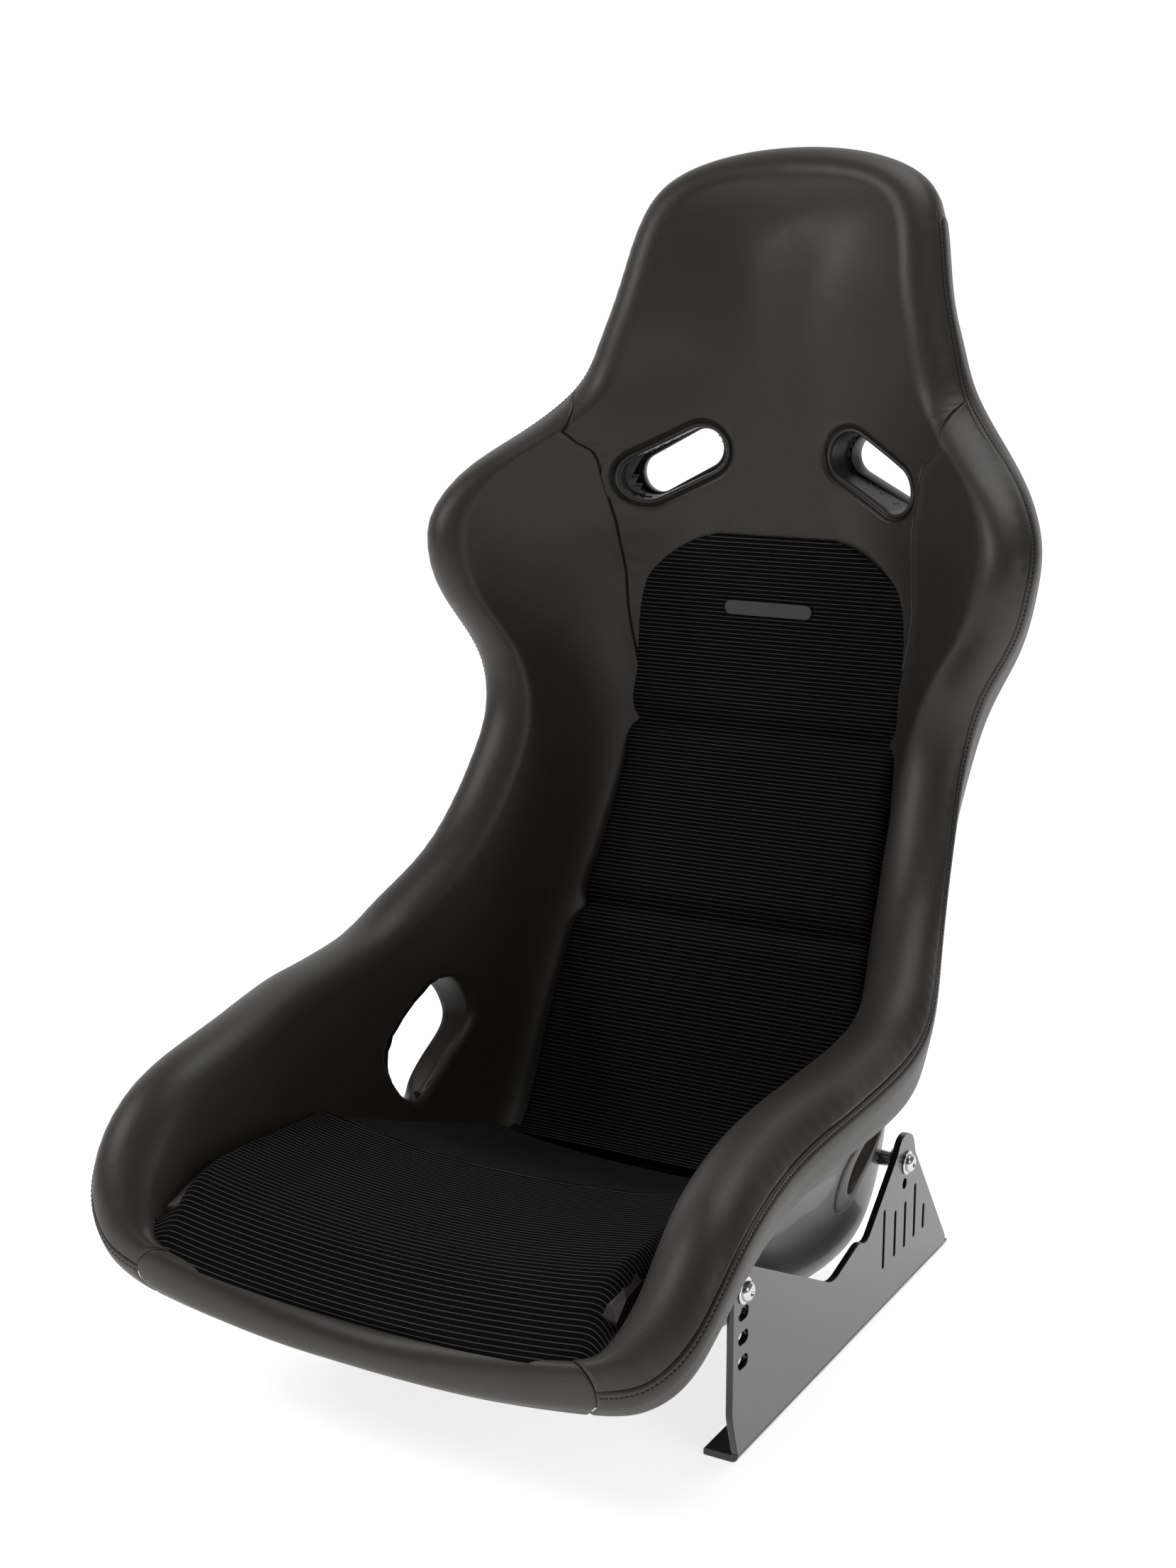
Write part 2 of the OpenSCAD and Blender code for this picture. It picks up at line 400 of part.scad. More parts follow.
module hip_liner() color(leather) intersection() {
  difference() { hip_prism(3, 140, 290); hip_prism(0, 130, 300); }
  G = [for (t=span(6.5, 11, 9)) sect(t)];
  slab([for (g=G) [for (u=[1.05,1.2,1.4,1.6,1.8,2,2.2]) cov(g, u, 0.5)]],
       [for (g=G) [for (u=[1.05,1.2,1.4,1.6,1.8,2,2.2]) shl(g, 1+(u-1)*0.75, 5)]]);
}
module hip_liner_right() hip_liner();
module hip_liner_left() mirror([1,0,0]) hip_liner();

// ---- side mounts ---------------------------------------------------------
xo = mount_span/2;
plate_pts = [[-197,0],[195,0],[116.4,110.5],[111,126],[98,133],[85,131],[78,120],[21,72],[6,78],
  [-42,66],[-179,136],[-190,140],[-203,134],[-207,120],[-207,38]];
module slot_h(y, z, len) hull() for (s=[-1,1]) translate([0, y, z+s*len/2]) rotate([0,90,0]) cylinder(r=2.1, h=40, center=true, $fn=24);
module mount() color(black) difference() {
  union() {
    translate([xo-plate_t, 0, 0]) rotate([90,0,90]) linear_extrude(plate_t) polygon(plate_pts);
    translate([xo-foot_w, -196.5, 0]) cube([foot_w, 391.7, plate_t]);
  }
  translate([xo, front_bolt_y, front_bolt_z]) rotate([0,90,0]) cylinder(d=bolt_d+0.6, h=40, center=true, $fn=40);
  translate([xo, rear_bolt_y, rear_bolt_z]) rotate([0,90,0]) cylinder(d=bolt_d+0.6, h=40, center=true, $fn=40);
  for (z=[107.5, 90.1, 72.5]) for (s=[-1,1]) translate([xo, front_bolt_y+s*3, z]) rotate([0,90,0]) cylinder(d=bolt_d+1, h=40, center=true, $fn=32);
  for (z=[107.5, 90.1, 72.5]) translate([xo, front_bolt_y, z]) cube([40, 6, bolt_d+1], center=true);
  translate([xo, rear_bolt_y-2.8, rear_bolt_z-16.2]) rotate([0,90,0]) cylinder(d=8.4, h=40, center=true, $fn=40);
  for (q=[[55,37.4,85.1],[77.6,38.3,75.9],[98,37.8,75.7],[118,38.6,83.2],[137.6,38.2,59.2]]) {
    for (z=[q[1]+2.1, q[2]-2.1]) translate([xo, q[0], z]) rotate([0,90,0]) cylinder(r=2.1, h=40, center=true, $fn=24);
    translate([xo-20, q[0]-2.1, q[1]+2.1]) cube([40, 4.2, q[2]-q[1]-4.2]);
  }
  for (s=[-1,1]) translate([floor_pitch_x/2, s*floor_pitch_y/2, -1]) cylinder(d=floor_hole_d, h=plate_t+2, $fn=40);
}
module side_mount_right() mount();
module side_mount_left() mirror([1,0,0]) mount();
module mount_bolts() color(steel) bolt_spots() {
  translate([0,0,186]) cylinder(d=bolt_d, h=xo+1.6-186, $fn=32);
  difference() {
    translate([0,0,xo+1.6]) union() { cylinder(r=6.9, h=1.6, $fn=40); translate([0,0,1.6]) cylinder(r1=6.9, r2=4, h=2.9, $fn=40); }
    translate([0,0,xo+3.4]) cylinder(r=2.9, h=6, $fn=6);
  }
}
module mount_washers() color(steel) bolt_spots() translate([0,0,xo]) difference() {
  cylinder(r=9, h=1.6, $fn=40); translate([0,0,-1]) cylinder(r=4.2, h=4, $fn=40); }
module mount_spacers() color(steel) bolt_spots() translate([0,0,boss_x]) difference() {
  h = xo-plate_t-boss_x; cylinder(r=10, h=h, $fn=40); translate([0,0,-1]) cylinder(r=4.2, h=h+2, $fn=40); }
module mount_inserts() color(steel) bolt_spots() translate([0,0,boss_in+3]) difference() {
  cylinder(r=6.1, h=boss_x-boss_in-3, $fn=32); translate([0,0,3]) cylinder(r=4.1, h=30, $fn=32); }

shell();
foam_head();
foam_side_left();
foam_side_right();
foam_front();
head_cover();
side_cover_left();
side_cover_right();
front_roll_cover();
outer_strip_left();
outer_strip_right();
back_cushion();
seat_cushion();
seat_gusset_left();
seat_gusset_right();
back_label();
belt_guide_left();
belt_guide_right();
belt_guide_ring_left();
belt_guide_ring_right();
hip_liner_left();
hip_liner_right();
back_grip_strips();
seat_grip_strips();
side_mount_left();
side_mount_right();
mount_bolts();
mount_washers();
mount_spacers();
mount_inserts();
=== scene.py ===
# Looks of the bucket seat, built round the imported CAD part.
import bpy, bmesh, json, math
import numpy as np
from mathutils import Vector, Matrix

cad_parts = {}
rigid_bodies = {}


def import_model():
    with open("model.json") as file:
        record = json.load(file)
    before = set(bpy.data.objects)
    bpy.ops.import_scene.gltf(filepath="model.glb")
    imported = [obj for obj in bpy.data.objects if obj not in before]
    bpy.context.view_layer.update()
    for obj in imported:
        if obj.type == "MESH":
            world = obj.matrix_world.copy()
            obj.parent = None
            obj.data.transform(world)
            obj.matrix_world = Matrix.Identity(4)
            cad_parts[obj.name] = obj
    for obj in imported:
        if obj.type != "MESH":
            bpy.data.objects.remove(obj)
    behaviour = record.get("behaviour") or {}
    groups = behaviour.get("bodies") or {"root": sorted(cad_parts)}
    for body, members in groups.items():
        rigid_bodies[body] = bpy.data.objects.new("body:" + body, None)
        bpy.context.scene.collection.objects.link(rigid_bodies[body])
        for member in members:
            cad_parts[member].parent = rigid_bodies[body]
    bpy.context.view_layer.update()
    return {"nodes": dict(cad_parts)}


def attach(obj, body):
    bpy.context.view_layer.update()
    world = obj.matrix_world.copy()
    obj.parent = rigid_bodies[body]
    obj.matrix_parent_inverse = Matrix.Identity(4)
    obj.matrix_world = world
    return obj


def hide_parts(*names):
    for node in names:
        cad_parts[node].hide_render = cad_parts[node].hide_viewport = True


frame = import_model()
MM = 0.001
NODE = frame["nodes"]

# ------------------------------------------------------------------ tables
SPINE = [[-330,70],[-250,76],[-150,68],[-40,52],[45,40],[102,44],[138,84],[168,154],
  [203,230],[248,320],[277,400],[288,480],[290,565],[290,650],[295,730],[305,800],[322,850]]
STATIONS = [
[1.00,-0.05,.45,0,-336,91,42,17,10,26,14,20,6,-60,52],
[1.05,-0.05,.50,95,-338,97,42,17,10,26,14,20,6,-58,52],
[1.10,0.00,.58,181,-340,112,45,17,12,27,14,24,7,-45,50],
[1.20,0.15,.60,217,-334,127,54,22,12,29,15,26,14,-30,46],
[1.30,0.40,.60,238,-317,156,62,27,15,31,16,28,36,-18,42],
[1.45,0.95,.60,245,-270,198,68,30,20,32,16,36,56,-14,37],
[1.80,1.75,.59,243,-190,219,71,30,20,33,16,46,74,-12,35],
[2.50,2.50,.57,249,-110,229,72,30,20,34,16,52,74,-12,35],
[3.40,3.40,.57,251,-15,237,72,29,20,40,16,58,76,-12,37],
[4.20,4.20,.57,246,42,261,72,28,20,44,16,68,80,-12,42],
[5.60,5.60,.58,229,100,302,72,27,20,44,18,70,80,-12,48],
[7.50,7.50,.54,217,150,369,72,26,20,42,20,58,70,-12,52],
[8.80,8.80,.52,215,172,415,71,25,20,40,22,52,50,-12,52],
[9.90,9.90,.42,226,176,461,68,24,20,38,24,50,44,-12,52],
[10.7,10.7,.36,251,164,505,62,24,22,36,26,50,44,-12,52],
[11.4,11.4,.32,263,159,545,58,24,25,35,28,54,44,-12,52],
[12.0,12.0,.20,262,169,580,55,24,25,34,28,54,40,-12,52],
[12.5,12.5,.15,242,195,614,50,24,25,32,28,50,34,-12,52],
[12.95,12.95,.12,210,229,642,44,24,25,30,28,40,28,-12,52],
[13.35,13.4,.12,176,258,676,36,24,25,28,28,30,20,-12,52],
[13.75,13.85,.12,160,271,714,32,24,20,28,28,24,18,-12,52],
[14.10,14.35,.13,146,281,760,28,24,20,28,28,22,16,-12,52],
[14.40,14.95,.15,136,293,805,26,24,20,28,28,20,16,-12,52],
[14.65,15.70,.17,116,309,845,26,24,20,28,28,20,16,-12,52],
[14.80,16.15,.18,66,323,868,26,24,20,28,28,20,16,-12,52],
[14.90,16.30,.20,0,329,875,26,24,20,28,28,20,16,-12,52]]


class Bend:
    """Natural cubic spline through evenly numbered rows."""
    def __init__(s, y):
        y = np.asarray(y, float); n = len(y); s.y = y
        A = np.eye(n); r = np.zeros_like(y)
        for i in range(1, n-1):
            A[i, i-1:i+2] = (1, 4, 1); r[i] = 6*(y[i-1]-2*y[i]+y[i+1])
        s.m = np.linalg.solve(A, r)

    def _i(s, t):
        i = np.clip(np.floor(t).astype(int), 0, len(s.y)-2)
        return i, (t-i)[..., None]

    def __call__(s, t):
        t = np.asarray(t, float); i, f = s._i(t); a = 1-f
        return a*s.y[i]+f*s.y[i+1]+((a**3-a)*s.m[i]+(f**3-f)*s.m[i+1])/6

    def d(s, t):
        t = np.asarray(t, float); i, f = s._i(t); a = 1-f
        return s.y[i+1]-s.y[i]+(-(3*a*a-1)*s.m[i]+(3*f*f-1)*s.m[i+1])/6


def flipx(r):
    r = list(r); r[3] = -r[3]; return r


SPN = Bend(SPINE)
STN = Bend([flipx(STATIONS[i]) for i in (3, 2, 1)] + STATIONS + [flipx(STATIONS[-1-i]) for i in (1, 2, 3)])


def nrm(v):
    return v/np.maximum(np.linalg.norm(v, axis=-1, keepdims=True), 1e-12)


def cs(d):
    d = np.radians(d); return np.stack([np.cos(d), np.sin(d)], -1)


class Sect:
    """Sections of the seat at stations t (N). Points are asked for with U (N x M)."""
    def __init__(s, t):
        t = np.atleast_1d(np.asarray(t, float)); s.t = t
        q = STN(t+3); s.q = q; f = q[:, 2]
        sE = q[:, 0]+(q[:, 1]-q[:, 0])*f
        p = SPN(sE); Td = SPN.d(sE); z = 0*sE
        T = np.stack([z, Td[:, 0], Td[:, 1]], 1)
        s.E = np.stack([q[:, 3]*f, p[:, 0], p[:, 1]], 1)
        s.A = nrm((q[:, 1]-q[:, 0])[:, None]*T+np.stack([q[:, 3], z, z], 1))
        D = q[:, 3:6]-s.E; N0 = nrm(D-(D*s.A).sum(1)[:, None]*s.A)
        # over the head the section stands square to the middle line
        w = smooth(19.5, 21.5, t)[:, None]; Nb = nrm(np.stack([z, -Td[:, 1], Td[:, 0]], 1))
        s.A = nrm((1-w)*s.A+w*nrm(D-(D*Nb).sum(1)[:, None]*Nb)); N1 = (1-w)*N0+w*Nb
        s.N = nrm(N1-(N1*s.A).sum(1)[:, None]*s.A); DA = (D*s.A).sum(1); DN = (D*s.N).sum(1)
        r = q[:, 7:8]; s.O = np.stack([DA, DN], 1)-r*cs(q[:, 8])
        ph = np.radians(q[:, 6]); s.Q = s.O+r*np.stack([-np.sin(ph), np.cos(ph)], 1)
        L = np.linalg.norm(s.Q, axis=1)[:, None]
        s.arc = q[:, 7]*(q[:, 8]-q[:, 13])*math.pi/180
        a = np.radians(q[:, 13]); s.dn = np.stack([np.sin(a), -np.cos(a)], 1)
        s.K = s.O+r*cs(q[:, 13]); s.W = s.K+s.dn*np.maximum(2, q[:, 9]-s.arc)[:, None]
        s.P3 = s.W-3*cs(q[:, 13])-5*s.dn; s.P2 = s.P3-q[:, 12:13]*cs(q[:, 14])
        s.b1 = np.concatenate([.27*L, 0*L], 1); s.b2 = s.Q-.38*L*cs(q[:, 6])

    def base(s, U, off):
        q = s.q; m = q[:, 0:1]+((q[:, 1]-q[:, 0])*q[:, 2])[:, None]*U
        p = SPN(m); T = nrm(SPN.d(m))
        return np.stack([(q[:, 3]*q[:, 2])[:, None]*U, p[..., 0]-T[..., 1]*off, p[..., 1]+T[..., 0]*off], -1)

    def out(s, r2):
        return s.E[:, None]+r2[..., 0:1]*s.A[:, None]+r2[..., 1:2]*s.N[:, None]

    @staticmethod
    def bz(a, b, c, d, v):
        v = v[..., None]; a, b, c, d = (w[:, None] for w in (a, b, c, d))
        pos = (1-v)**3*a+3*(1-v)**2*v*b+3*(1-v)*v*v*c+v**3*d
        der = (1-v)**2*(b-a)+2*(1-v)*v*(c-b)+v*v*(d-c)
        return pos, nrm(der)

    def cov(s, U, off=0.0):
        U = np.asarray(U, float); U = np.broadcast_to(U, (len(s.t), U.shape[-1])) if U.ndim < 2 else U
        off = np.broadcast_to(np.asarray(off, float), U.shape); q = s.q
        P = s.base(np.minimum(U, 1), off)
        c, d = s.bz(np.zeros((len(s.t), 2)), s.b1, s.b2, s.Q, np.clip(U-1, 0, 1))
        wall = s.out(c+off[..., None]*np.stack([-d[..., 1], d[..., 0]], -1))
        a = q[:, 6:7]+90+(q[:, 8]-q[:, 6]-90)[:, None]*(np.clip(U, 2, 3)-2)
        rr = q[:, 7:8]+off
        roll = s.out(s.O[:, None]+rr[..., None]*cs(a))
        w = np.maximum(s.arc+2, q[:, 9])[:, None]; l = (np.maximum(U, 3)-3)*w; arc = s.arc[:, None]
        a = q[:, 8:9]-l/q[:, 7:8]*180/math.pi
        s1 = s.out(s.O[:, None]+rr[..., None]*cs(a))
        s2 = s.out(s.K[:, None]+(l-arc)[..., None]*s.dn[:, None]+off[..., None]*cs(q[:, 13])[:, None])
        strip = np.where((l <= arc)[..., None], s1, s2)
        return np.where((U <= 1)[..., None], P, np.where((U <= 2)[..., None], wall, np.where((U <= 3)[..., None], roll, strip)))

    def shl(s, V, off=0.0):
        V = np.asarray(V, float); V = np.broadcast_to(V, (len(s.t), V.shape[-1])) if V.ndim < 2 else V
        off = np.broadcast_to(np.asarray(off, float), V.shape); q = s.q
        P = s.base(np.minimum(V, 1), -q[:, 10:11]-off)
        z = np.zeros(len(s.t))
        c, d = s.bz(np.stack([z, -q[:, 10]], 1), np.stack([q[:, 11], -q[:, 10]], 1), s.P2, s.P3, np.clip(V-1, 0, 1))
        return np.where((V <= 1)[..., None], P, s.out(c+off[..., None]*np.stack([d[..., 1], -d[..., 0]], -1)))


def point(t, u, off=0.0, shell=False):
    """Points at matching lists t and u (K)."""
    S = Sect(t); u = np.asarray(u, float)[:, None]; off = np.broadcast_to(np.asarray(off, float), (len(S.t),))[:, None]
    return (S.shl if shell else S.cov)(u, off)[:, 0]


def solve_tu(target, axes, t0, u0, shell=False, it=14):
    """Station and place on the cover whose two coordinates are the target's (K x 2)."""
    t = np.array(t0, float)+np.zeros(len(target)); u = np.array(u0, float)+np.zeros(len(target)); e = 1e-4
    for k in range(it):
        p = point(t, u, 0, shell)[:, axes]; g = target-p
        a = (point(t+e, u, 0, shell)[:, axes]-p)/e; b = (point(t, u+e, 0, shell)[:, axes]-p)/e
        det = a[:, 0]*b[:, 1]-a[:, 1]*b[:, 0]; det = np.where(np.abs(det) < 1e-9, 1e-9, det)
        dt = (g[:, 0]*b[:, 1]-g[:, 1]*b[:, 0])/det; du = (a[:, 0]*g[:, 1]-a[:, 1]*g[:, 0])/det
        t = np.clip(t+np.clip(dt, -.6, .6), 2, 25); u = np.clip(u+np.clip(du, -.2, .2), .01, 3)
    return t, u


def smooth(a, b, x):
    x = np.clip((x-a)/(b-a), 0, 1); return x*x*(3-2*x)


def table(t, rows):
    """Smooth curve through a short table."""
    rows = np.array(rows, float); x, y = rows[:, 0], rows[:, 1]; t = np.asarray(t, float)
    h = np.diff(x); dl = np.diff(y)/h; m = np.zeros(len(x)); m[0] = dl[0]; m[-1] = dl[-1]
    for i in range(1, len(x)-1):
        if dl[i-1]*dl[i] > 0:
            w1 = 2*h[i]+h[i-1]; w2 = h[i]+2*h[i-1]; m[i] = (w1+w2)/(w1/dl[i-1]+w2/dl[i])
    i = np.clip(np.searchsorted(x, t)-1, 0, len(x)-2); f = np.clip((t-x[i])/h[i], 0, 1)
    return ((1+2*f)*(1-f)**2*y[i]+f*(1-f)**2*h[i]*m[i]+f*f*(3-2*f)*y[i+1]+f*f*(f-1)*h[i]*m[i+1])


def noise3(P, scale, seed=0):
    """Smooth value noise, about -1 to 1."""
    X = P/scale+seed*17.3; i = np.floor(X).astype(np.int64); f = X-i; f = f*f*(3-2*f)
    def h(a):
        n = (a[..., 0]*73856093) ^ (a[..., 1]*19349663) ^ (a[..., 2]*83492791) ^ (seed*2654435761)
        n = (n ^ (n >> 13))*1274126177 & 0x7fffffff
        return (n % 20011)/10005.5-1
    r = 0
    for dx in (0, 1):
        for dy in (0, 1):
            for dz in (0, 1):
                w = (f[..., 0] if dx else 1-f[..., 0])*(f[..., 1] if dy else 1-f[..., 1])*(f[..., 2] if dz else 1-f[..., 2])
                r = r+w*h(i+np.array([dx, dy, dz]))
    return r


# ------------------------------------------------------------------ meshes
def mesh_obj(name, V, F, mat=None, body="root", smooth_it=True, uv=None, merge=0.0):
    """V in millimetres (K x 3), F a list or array of faces."""
    me = bpy.data.meshes.new(name)
    me.from_pydata((np.asarray(V)*MM).tolist(), [], [list(map(int, f)) for f in F])
    if uv is not None:
        l = me.uv_layers.new(name="cloth"); idx = np.zeros(len(me.loops), int); me.loops.foreach_get("vertex_index", idx)
        l.data.foreach_set("uv", np.asarray(uv, float)[idx].ravel())
    if merge:
        bm = bmesh.new(); bm.from_mesh(me); bmesh.ops.remove_doubles(bm, verts=bm.verts, dist=merge*MM); bm.to_mesh(me); bm.free()
    me.update()
    ob = bpy.data.objects.new(name, me); bpy.context.scene.collection.objects.link(ob)
    if smooth_it:
        me.polygons.foreach_set("use_smooth", [True]*len(me.polygons))
    if mat: me.materials.append(mat)
    if body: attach(ob, body)
    return ob


def grid_faces(n, m, o=0, flip=False, wrap=False):
    i = np.arange(n-1)[:, None]; j = np.arange(m if wrap else m-1)[None]
    k = (j+1) % m
    a, b, c, d = o+i*m+j, o+i*m+k, o+(i+1)*m+k, o+(i+1)*m+j
    F = np.stack([a, b, c, d], -1).reshape(-1, 4)
    return F[:, ::-1] if flip else F


def mirror_x(P):
    P = np.array(P); P[..., 0] = -P[..., 0]; return P


def both(name, P, mat, uv=None, body="root", drop=None, wrap=False):
    """One grid and its mirror image, as two objects: right and left."""
    out = []
    n, m = P.shape[:2]; F = grid_faces(n, m, 0, True, wrap)
    if drop is not None: F = F[~drop.ravel()[F].all(1)]
    for sgn, side in ((1, "right"), (-1, "left")):
        V = P if sgn > 0 else mirror_x(P)
        out.append(mesh_obj(name+"_"+side, V.reshape(-1, 3), F if sgn > 0 else F[:, ::-1], mat, body, uv=None if uv is None else uv.reshape(-1, 2)))
    return out


def arclen(P, axis):
    d = np.linalg.norm(np.diff(P, axis=axis), axis=-1)
    z = np.zeros_like(np.take(d, [0], axis)); return np.concatenate([z, np.cumsum(d, axis)], axis)


def stitches(name, path, nrmls, mat, pitch=3.6, dash=2.5, r=0.42, body="root"):
    """Short thread lengths along a path (K x 3, mm)."""
    s = np.concatenate([[0], np.cumsum(np.linalg.norm(np.diff(path, axis=0), axis=1))])
    n = int(s[-1]/pitch); c = (np.arange(n)+.5)*pitch
    g = lambda x, A: np.stack([np.interp(x, s, A[:, k]) for k in range(3)], 1)
    a, b, N = g(c-dash/2, path), g(c+dash/2, path), nrm(g(c, nrmls)); T = nrm(b-a); B = nrm(np.cross(T, N))
    ring = np.radians(np.arange(0, 360, 60)); st = [(-.5, .25, -.45), (-.42, .8, .05), (0, 1, .4), (.42, .8, .05), (.5, .25, -.45)]
    V = []; L = np.linalg.norm(b-a, axis=1)[:, None]; C = (a+b)/2
    for (al, rr, up) in st:
        for an in ring:
            V.append(C+T*L*al+N*(r*up+r*rr*math.sin(an))+B*(r*rr*math.cos(an)))
    V = np.stack(V, 1); k = V.shape[1]
    F0 = np.array(grid_faces(5, 6, 0, False, True)); F = (F0[None]+(np.arange(n)*k)[:, None, None]).reshape(-1, 4)
    return mesh_obj(name, V.reshape(-1, 3), F, mat, body)

# ------------------------------------------------------------------ materials
def node(nt, kind, **kw):
    n = nt.nodes.new(kind)
    for k, v in kw.items(): setattr(n, k, v)
    return n


def principled(name, color, rough, spec=0.5, metal=0.0, coat=0.0, sheen=0.0):
    m = bpy.data.materials.new(name); m.use_nodes = True
    b = m.node_tree.nodes["Principled BSDF"]
    b.inputs["Base Color"].default_value = (*color, 1); b.inputs["Roughness"].default_value = rough
    b.inputs["Specular IOR Level"].default_value = spec; b.inputs["Metallic"].default_value = metal
    b.inputs["Coat Weight"].default_value = coat; b.inputs["Sheen Weight"].default_value = sheen
    return m, m.node_tree, b


def bump_into(nt, b, height, strength, distance, chain=None):
    n = node(nt, "ShaderNodeBump"); n.inputs["Strength"].default_value = strength; n.inputs["Distance"].default_value = distance
    nt.links.new(height, n.inputs["Height"])
    if chain is not None: nt.links.new(chain.outputs[0], n.inputs["Normal"])
    nt.links.new(n.outputs[0], b.inputs["Normal"]); return n


def leather_mat(name="leather", color=(0.024, 0.0225, 0.0198), rough=0.43):
    m, nt, b = principled(name, color, rough, 0.42)
    tc = node(nt, "ShaderNodeTexCoord")
    v = node(nt, "ShaderNodeTexVoronoi", feature="DISTANCE_TO_EDGE"); v.inputs["Scale"].default_value = 620
    d = node(nt, "ShaderNodeTexNoise"); d.inputs["Scale"].default_value = 240; d.inputs["Detail"].default_value = 3
    mix = node(nt, "ShaderNodeMixRGB"); mix.inputs[0].default_value = 0.004
    nt.links.new(tc.outputs["Object"], mix.inputs[1]); nt.links.new(d.outputs["Color"], mix.inputs[2])
    nt.links.new(tc.outputs["Object"], d.inputs["Vector"]); nt.links.new(mix.outputs[0], v.inputs["Vector"])
    w = node(nt, "ShaderNodeTexNoise"); w.inputs["Scale"].default_value = 55; w.inputs["Detail"].default_value = 4; w.inputs["Roughness"].default_value = 0.6
    nt.links.new(tc.outputs["Object"], w.inputs["Vector"])
    b1 = bump_into(nt, b, w.outputs["Fac"], 0.16, 0.0012)
    ramp = node(nt, "ShaderNodeMapRange"); ramp.inputs["From Max"].default_value = 0.25
    nt.links.new(v.outputs["Distance"], ramp.inputs["Value"])
    bump_into(nt, b, ramp.outputs[0], 0.28, 0.00009, b1)
    big = node(nt, "ShaderNodeTexNoise"); big.inputs["Scale"].default_value = 14; big.inputs["Detail"].default_value = 5
    nt.links.new(tc.outputs["Object"], big.inputs["Vector"])
    rr = node(nt, "ShaderNodeMapRange"); rr.inputs["To Min"].default_value = rough-0.035; rr.inputs["To Max"].default_value = rough+0.05
    nt.links.new(big.outputs["Fac"], rr.inputs["Value"]); nt.links.new(rr.outputs[0], b.inputs["Roughness"])
    return m


def math_node(nt, op, a, bb=None, c=None, clamp=False):
    n = node(nt, "ShaderNodeMath", operation=op, use_clamp=clamp)
    for k, x in enumerate((a, bb, c)):
        if x is None: continue
        if isinstance(x, (int, float)): n.inputs[k].default_value = x
        else: nt.links.new(x, n.inputs[k])
    return n.outputs[0]


def fabric_mat(name, pitch=3.55, dot=1.05):
    """Black cloth with thin pale dotted rows. UV holds millimetres."""
    m, nt, b = principled(name, (0.004, 0.004, 0.0045), 0.95, 0.06, sheen=0.0)
    b.inputs["Sheen Roughness"].default_value = 0.45; b.inputs["Sheen Tint"].default_value = (0.25, 0.27, 0.27, 1)
    uv = node(nt, "ShaderNodeUVMap", uv_map="cloth"); sp = node(nt, "ShaderNodeSeparateXYZ")
    nt.links.new(uv.outputs[0], sp.inputs[0]); x, y = sp.outputs[0], sp.outputs[1]
    tc = node(nt, "ShaderNodeTexCoord"); wn = node(nt, "ShaderNodeTexNoise"); wn.inputs["Scale"].default_value = 900
    nt.links.new(tc.outputs["Object"], wn.inputs["Vector"])
    yy = math_node(nt, "ADD", math_node(nt, "DIVIDE", y, pitch), math_node(nt, "MULTIPLY", math_node(nt, "SUBTRACT", wn.outputs["Fac"], 0.5), 0.07))
    fy = math_node(nt, "ABSOLUTE", math_node(nt, "SUBTRACT", math_node(nt, "FRACT", yy), 0.5))
    line = math_node(nt, "SUBTRACT", 1.0, math_node(nt, "SMOOTH_MIN", math_node(nt, "MULTIPLY", fy, 12.0), 1.0, 0.15), clamp=True)
    row = math_node(nt, "FLOOR", yy)
    sh = math_node(nt, "MULTIPLY", math_node(nt, "FRACT", math_node(nt, "MULTIPLY", row, 0.37)), 1.0)
    fx = math_node(nt, "ABSOLUTE", math_node(nt, "SUBTRACT", math_node(nt, "FRACT", math_node(nt, "ADD", math_node(nt, "DIVIDE", x, dot), sh)), 0.5))
    dots = math_node(nt, "MULTIPLY", math_node(nt, "SUBTRACT", 0.40, fx, clamp=True), 5.5, clamp=True)
    fac = math_node(nt, "MULTIPLY", math_node(nt, "POWER", line, 0.7), dots, clamp=True)
    mix = node(nt, "ShaderNodeMixRGB"); mix.inputs[1].default_value = (0.0035, 0.0035, 0.004, 1); mix.inputs[2].default_value = (0.17, 0.175, 0.168, 1)
    nt.links.new(fac, mix.inputs[0]); nt.links.new(mix.outputs[0], b.inputs["Base Color"])
    # fine cross weave
    wx = math_node(nt, "SINE", math_node(nt, "MULTIPLY", x, 2*math.pi/0.7)); wy = math_node(nt, "SINE", math_node(nt, "MULTIPLY", y, 2*math.pi/0.7))
    h = math_node(nt, "ADD", math_node(nt, "MULTIPLY", wx, wy), math_node(nt, "MULTIPLY", fac, 1.5))
    bump_into(nt, b, h, 0.35, 0.00015)
    return m


LEATHER = leather_mat()
STITCH = principled("thread", (0.004, 0.004, 0.004), 0.5, 0.4)[0]
FABRIC = fabric_mat("cloth_back"); FABRIC_SEAT = fabric_mat("cloth_seat", 3.9, 1.1)
PLAIN = principled("cloth_plain", (0.004, 0.004, 0.0045), 0.9, 0.15, sheen=0.05)[0]
SHELL = principled("laminate", (0.020, 0.021, 0.022), 0.36, 0.5, coat=0.15)[0]
PLASTIC = principled("black_plastic", (0.020, 0.0195, 0.018), 0.42, 0.45)[0]
# rear ring colour: lighter grey than the black plastic, a painted highlight for the light on its forward-facing face
REAR_RING_PAINTED_HIGHLIGHT = principled("rear_ring", (0.085, 0.087, 0.088), 0.45, 0.45)[0]
PAINT = principled("mount_paint", (0.004, 0.004, 0.0045), 0.22, 0.5, coat=0.4)[0]
STEEL = principled("bright_steel", (0.62, 0.62, 0.63), 0.20, 0.5, 1.0)[0]
FOAM = principled("foam", (0.012, 0.012, 0.0115), 0.95, 0.1)[0]
LABEL = principled("label", (0.028, 0.029, 0.028), 0.38, 0.5)[0]
GRIP = principled("grip_tape", (0.01, 0.01, 0.01), 0.95, 0.2)[0]

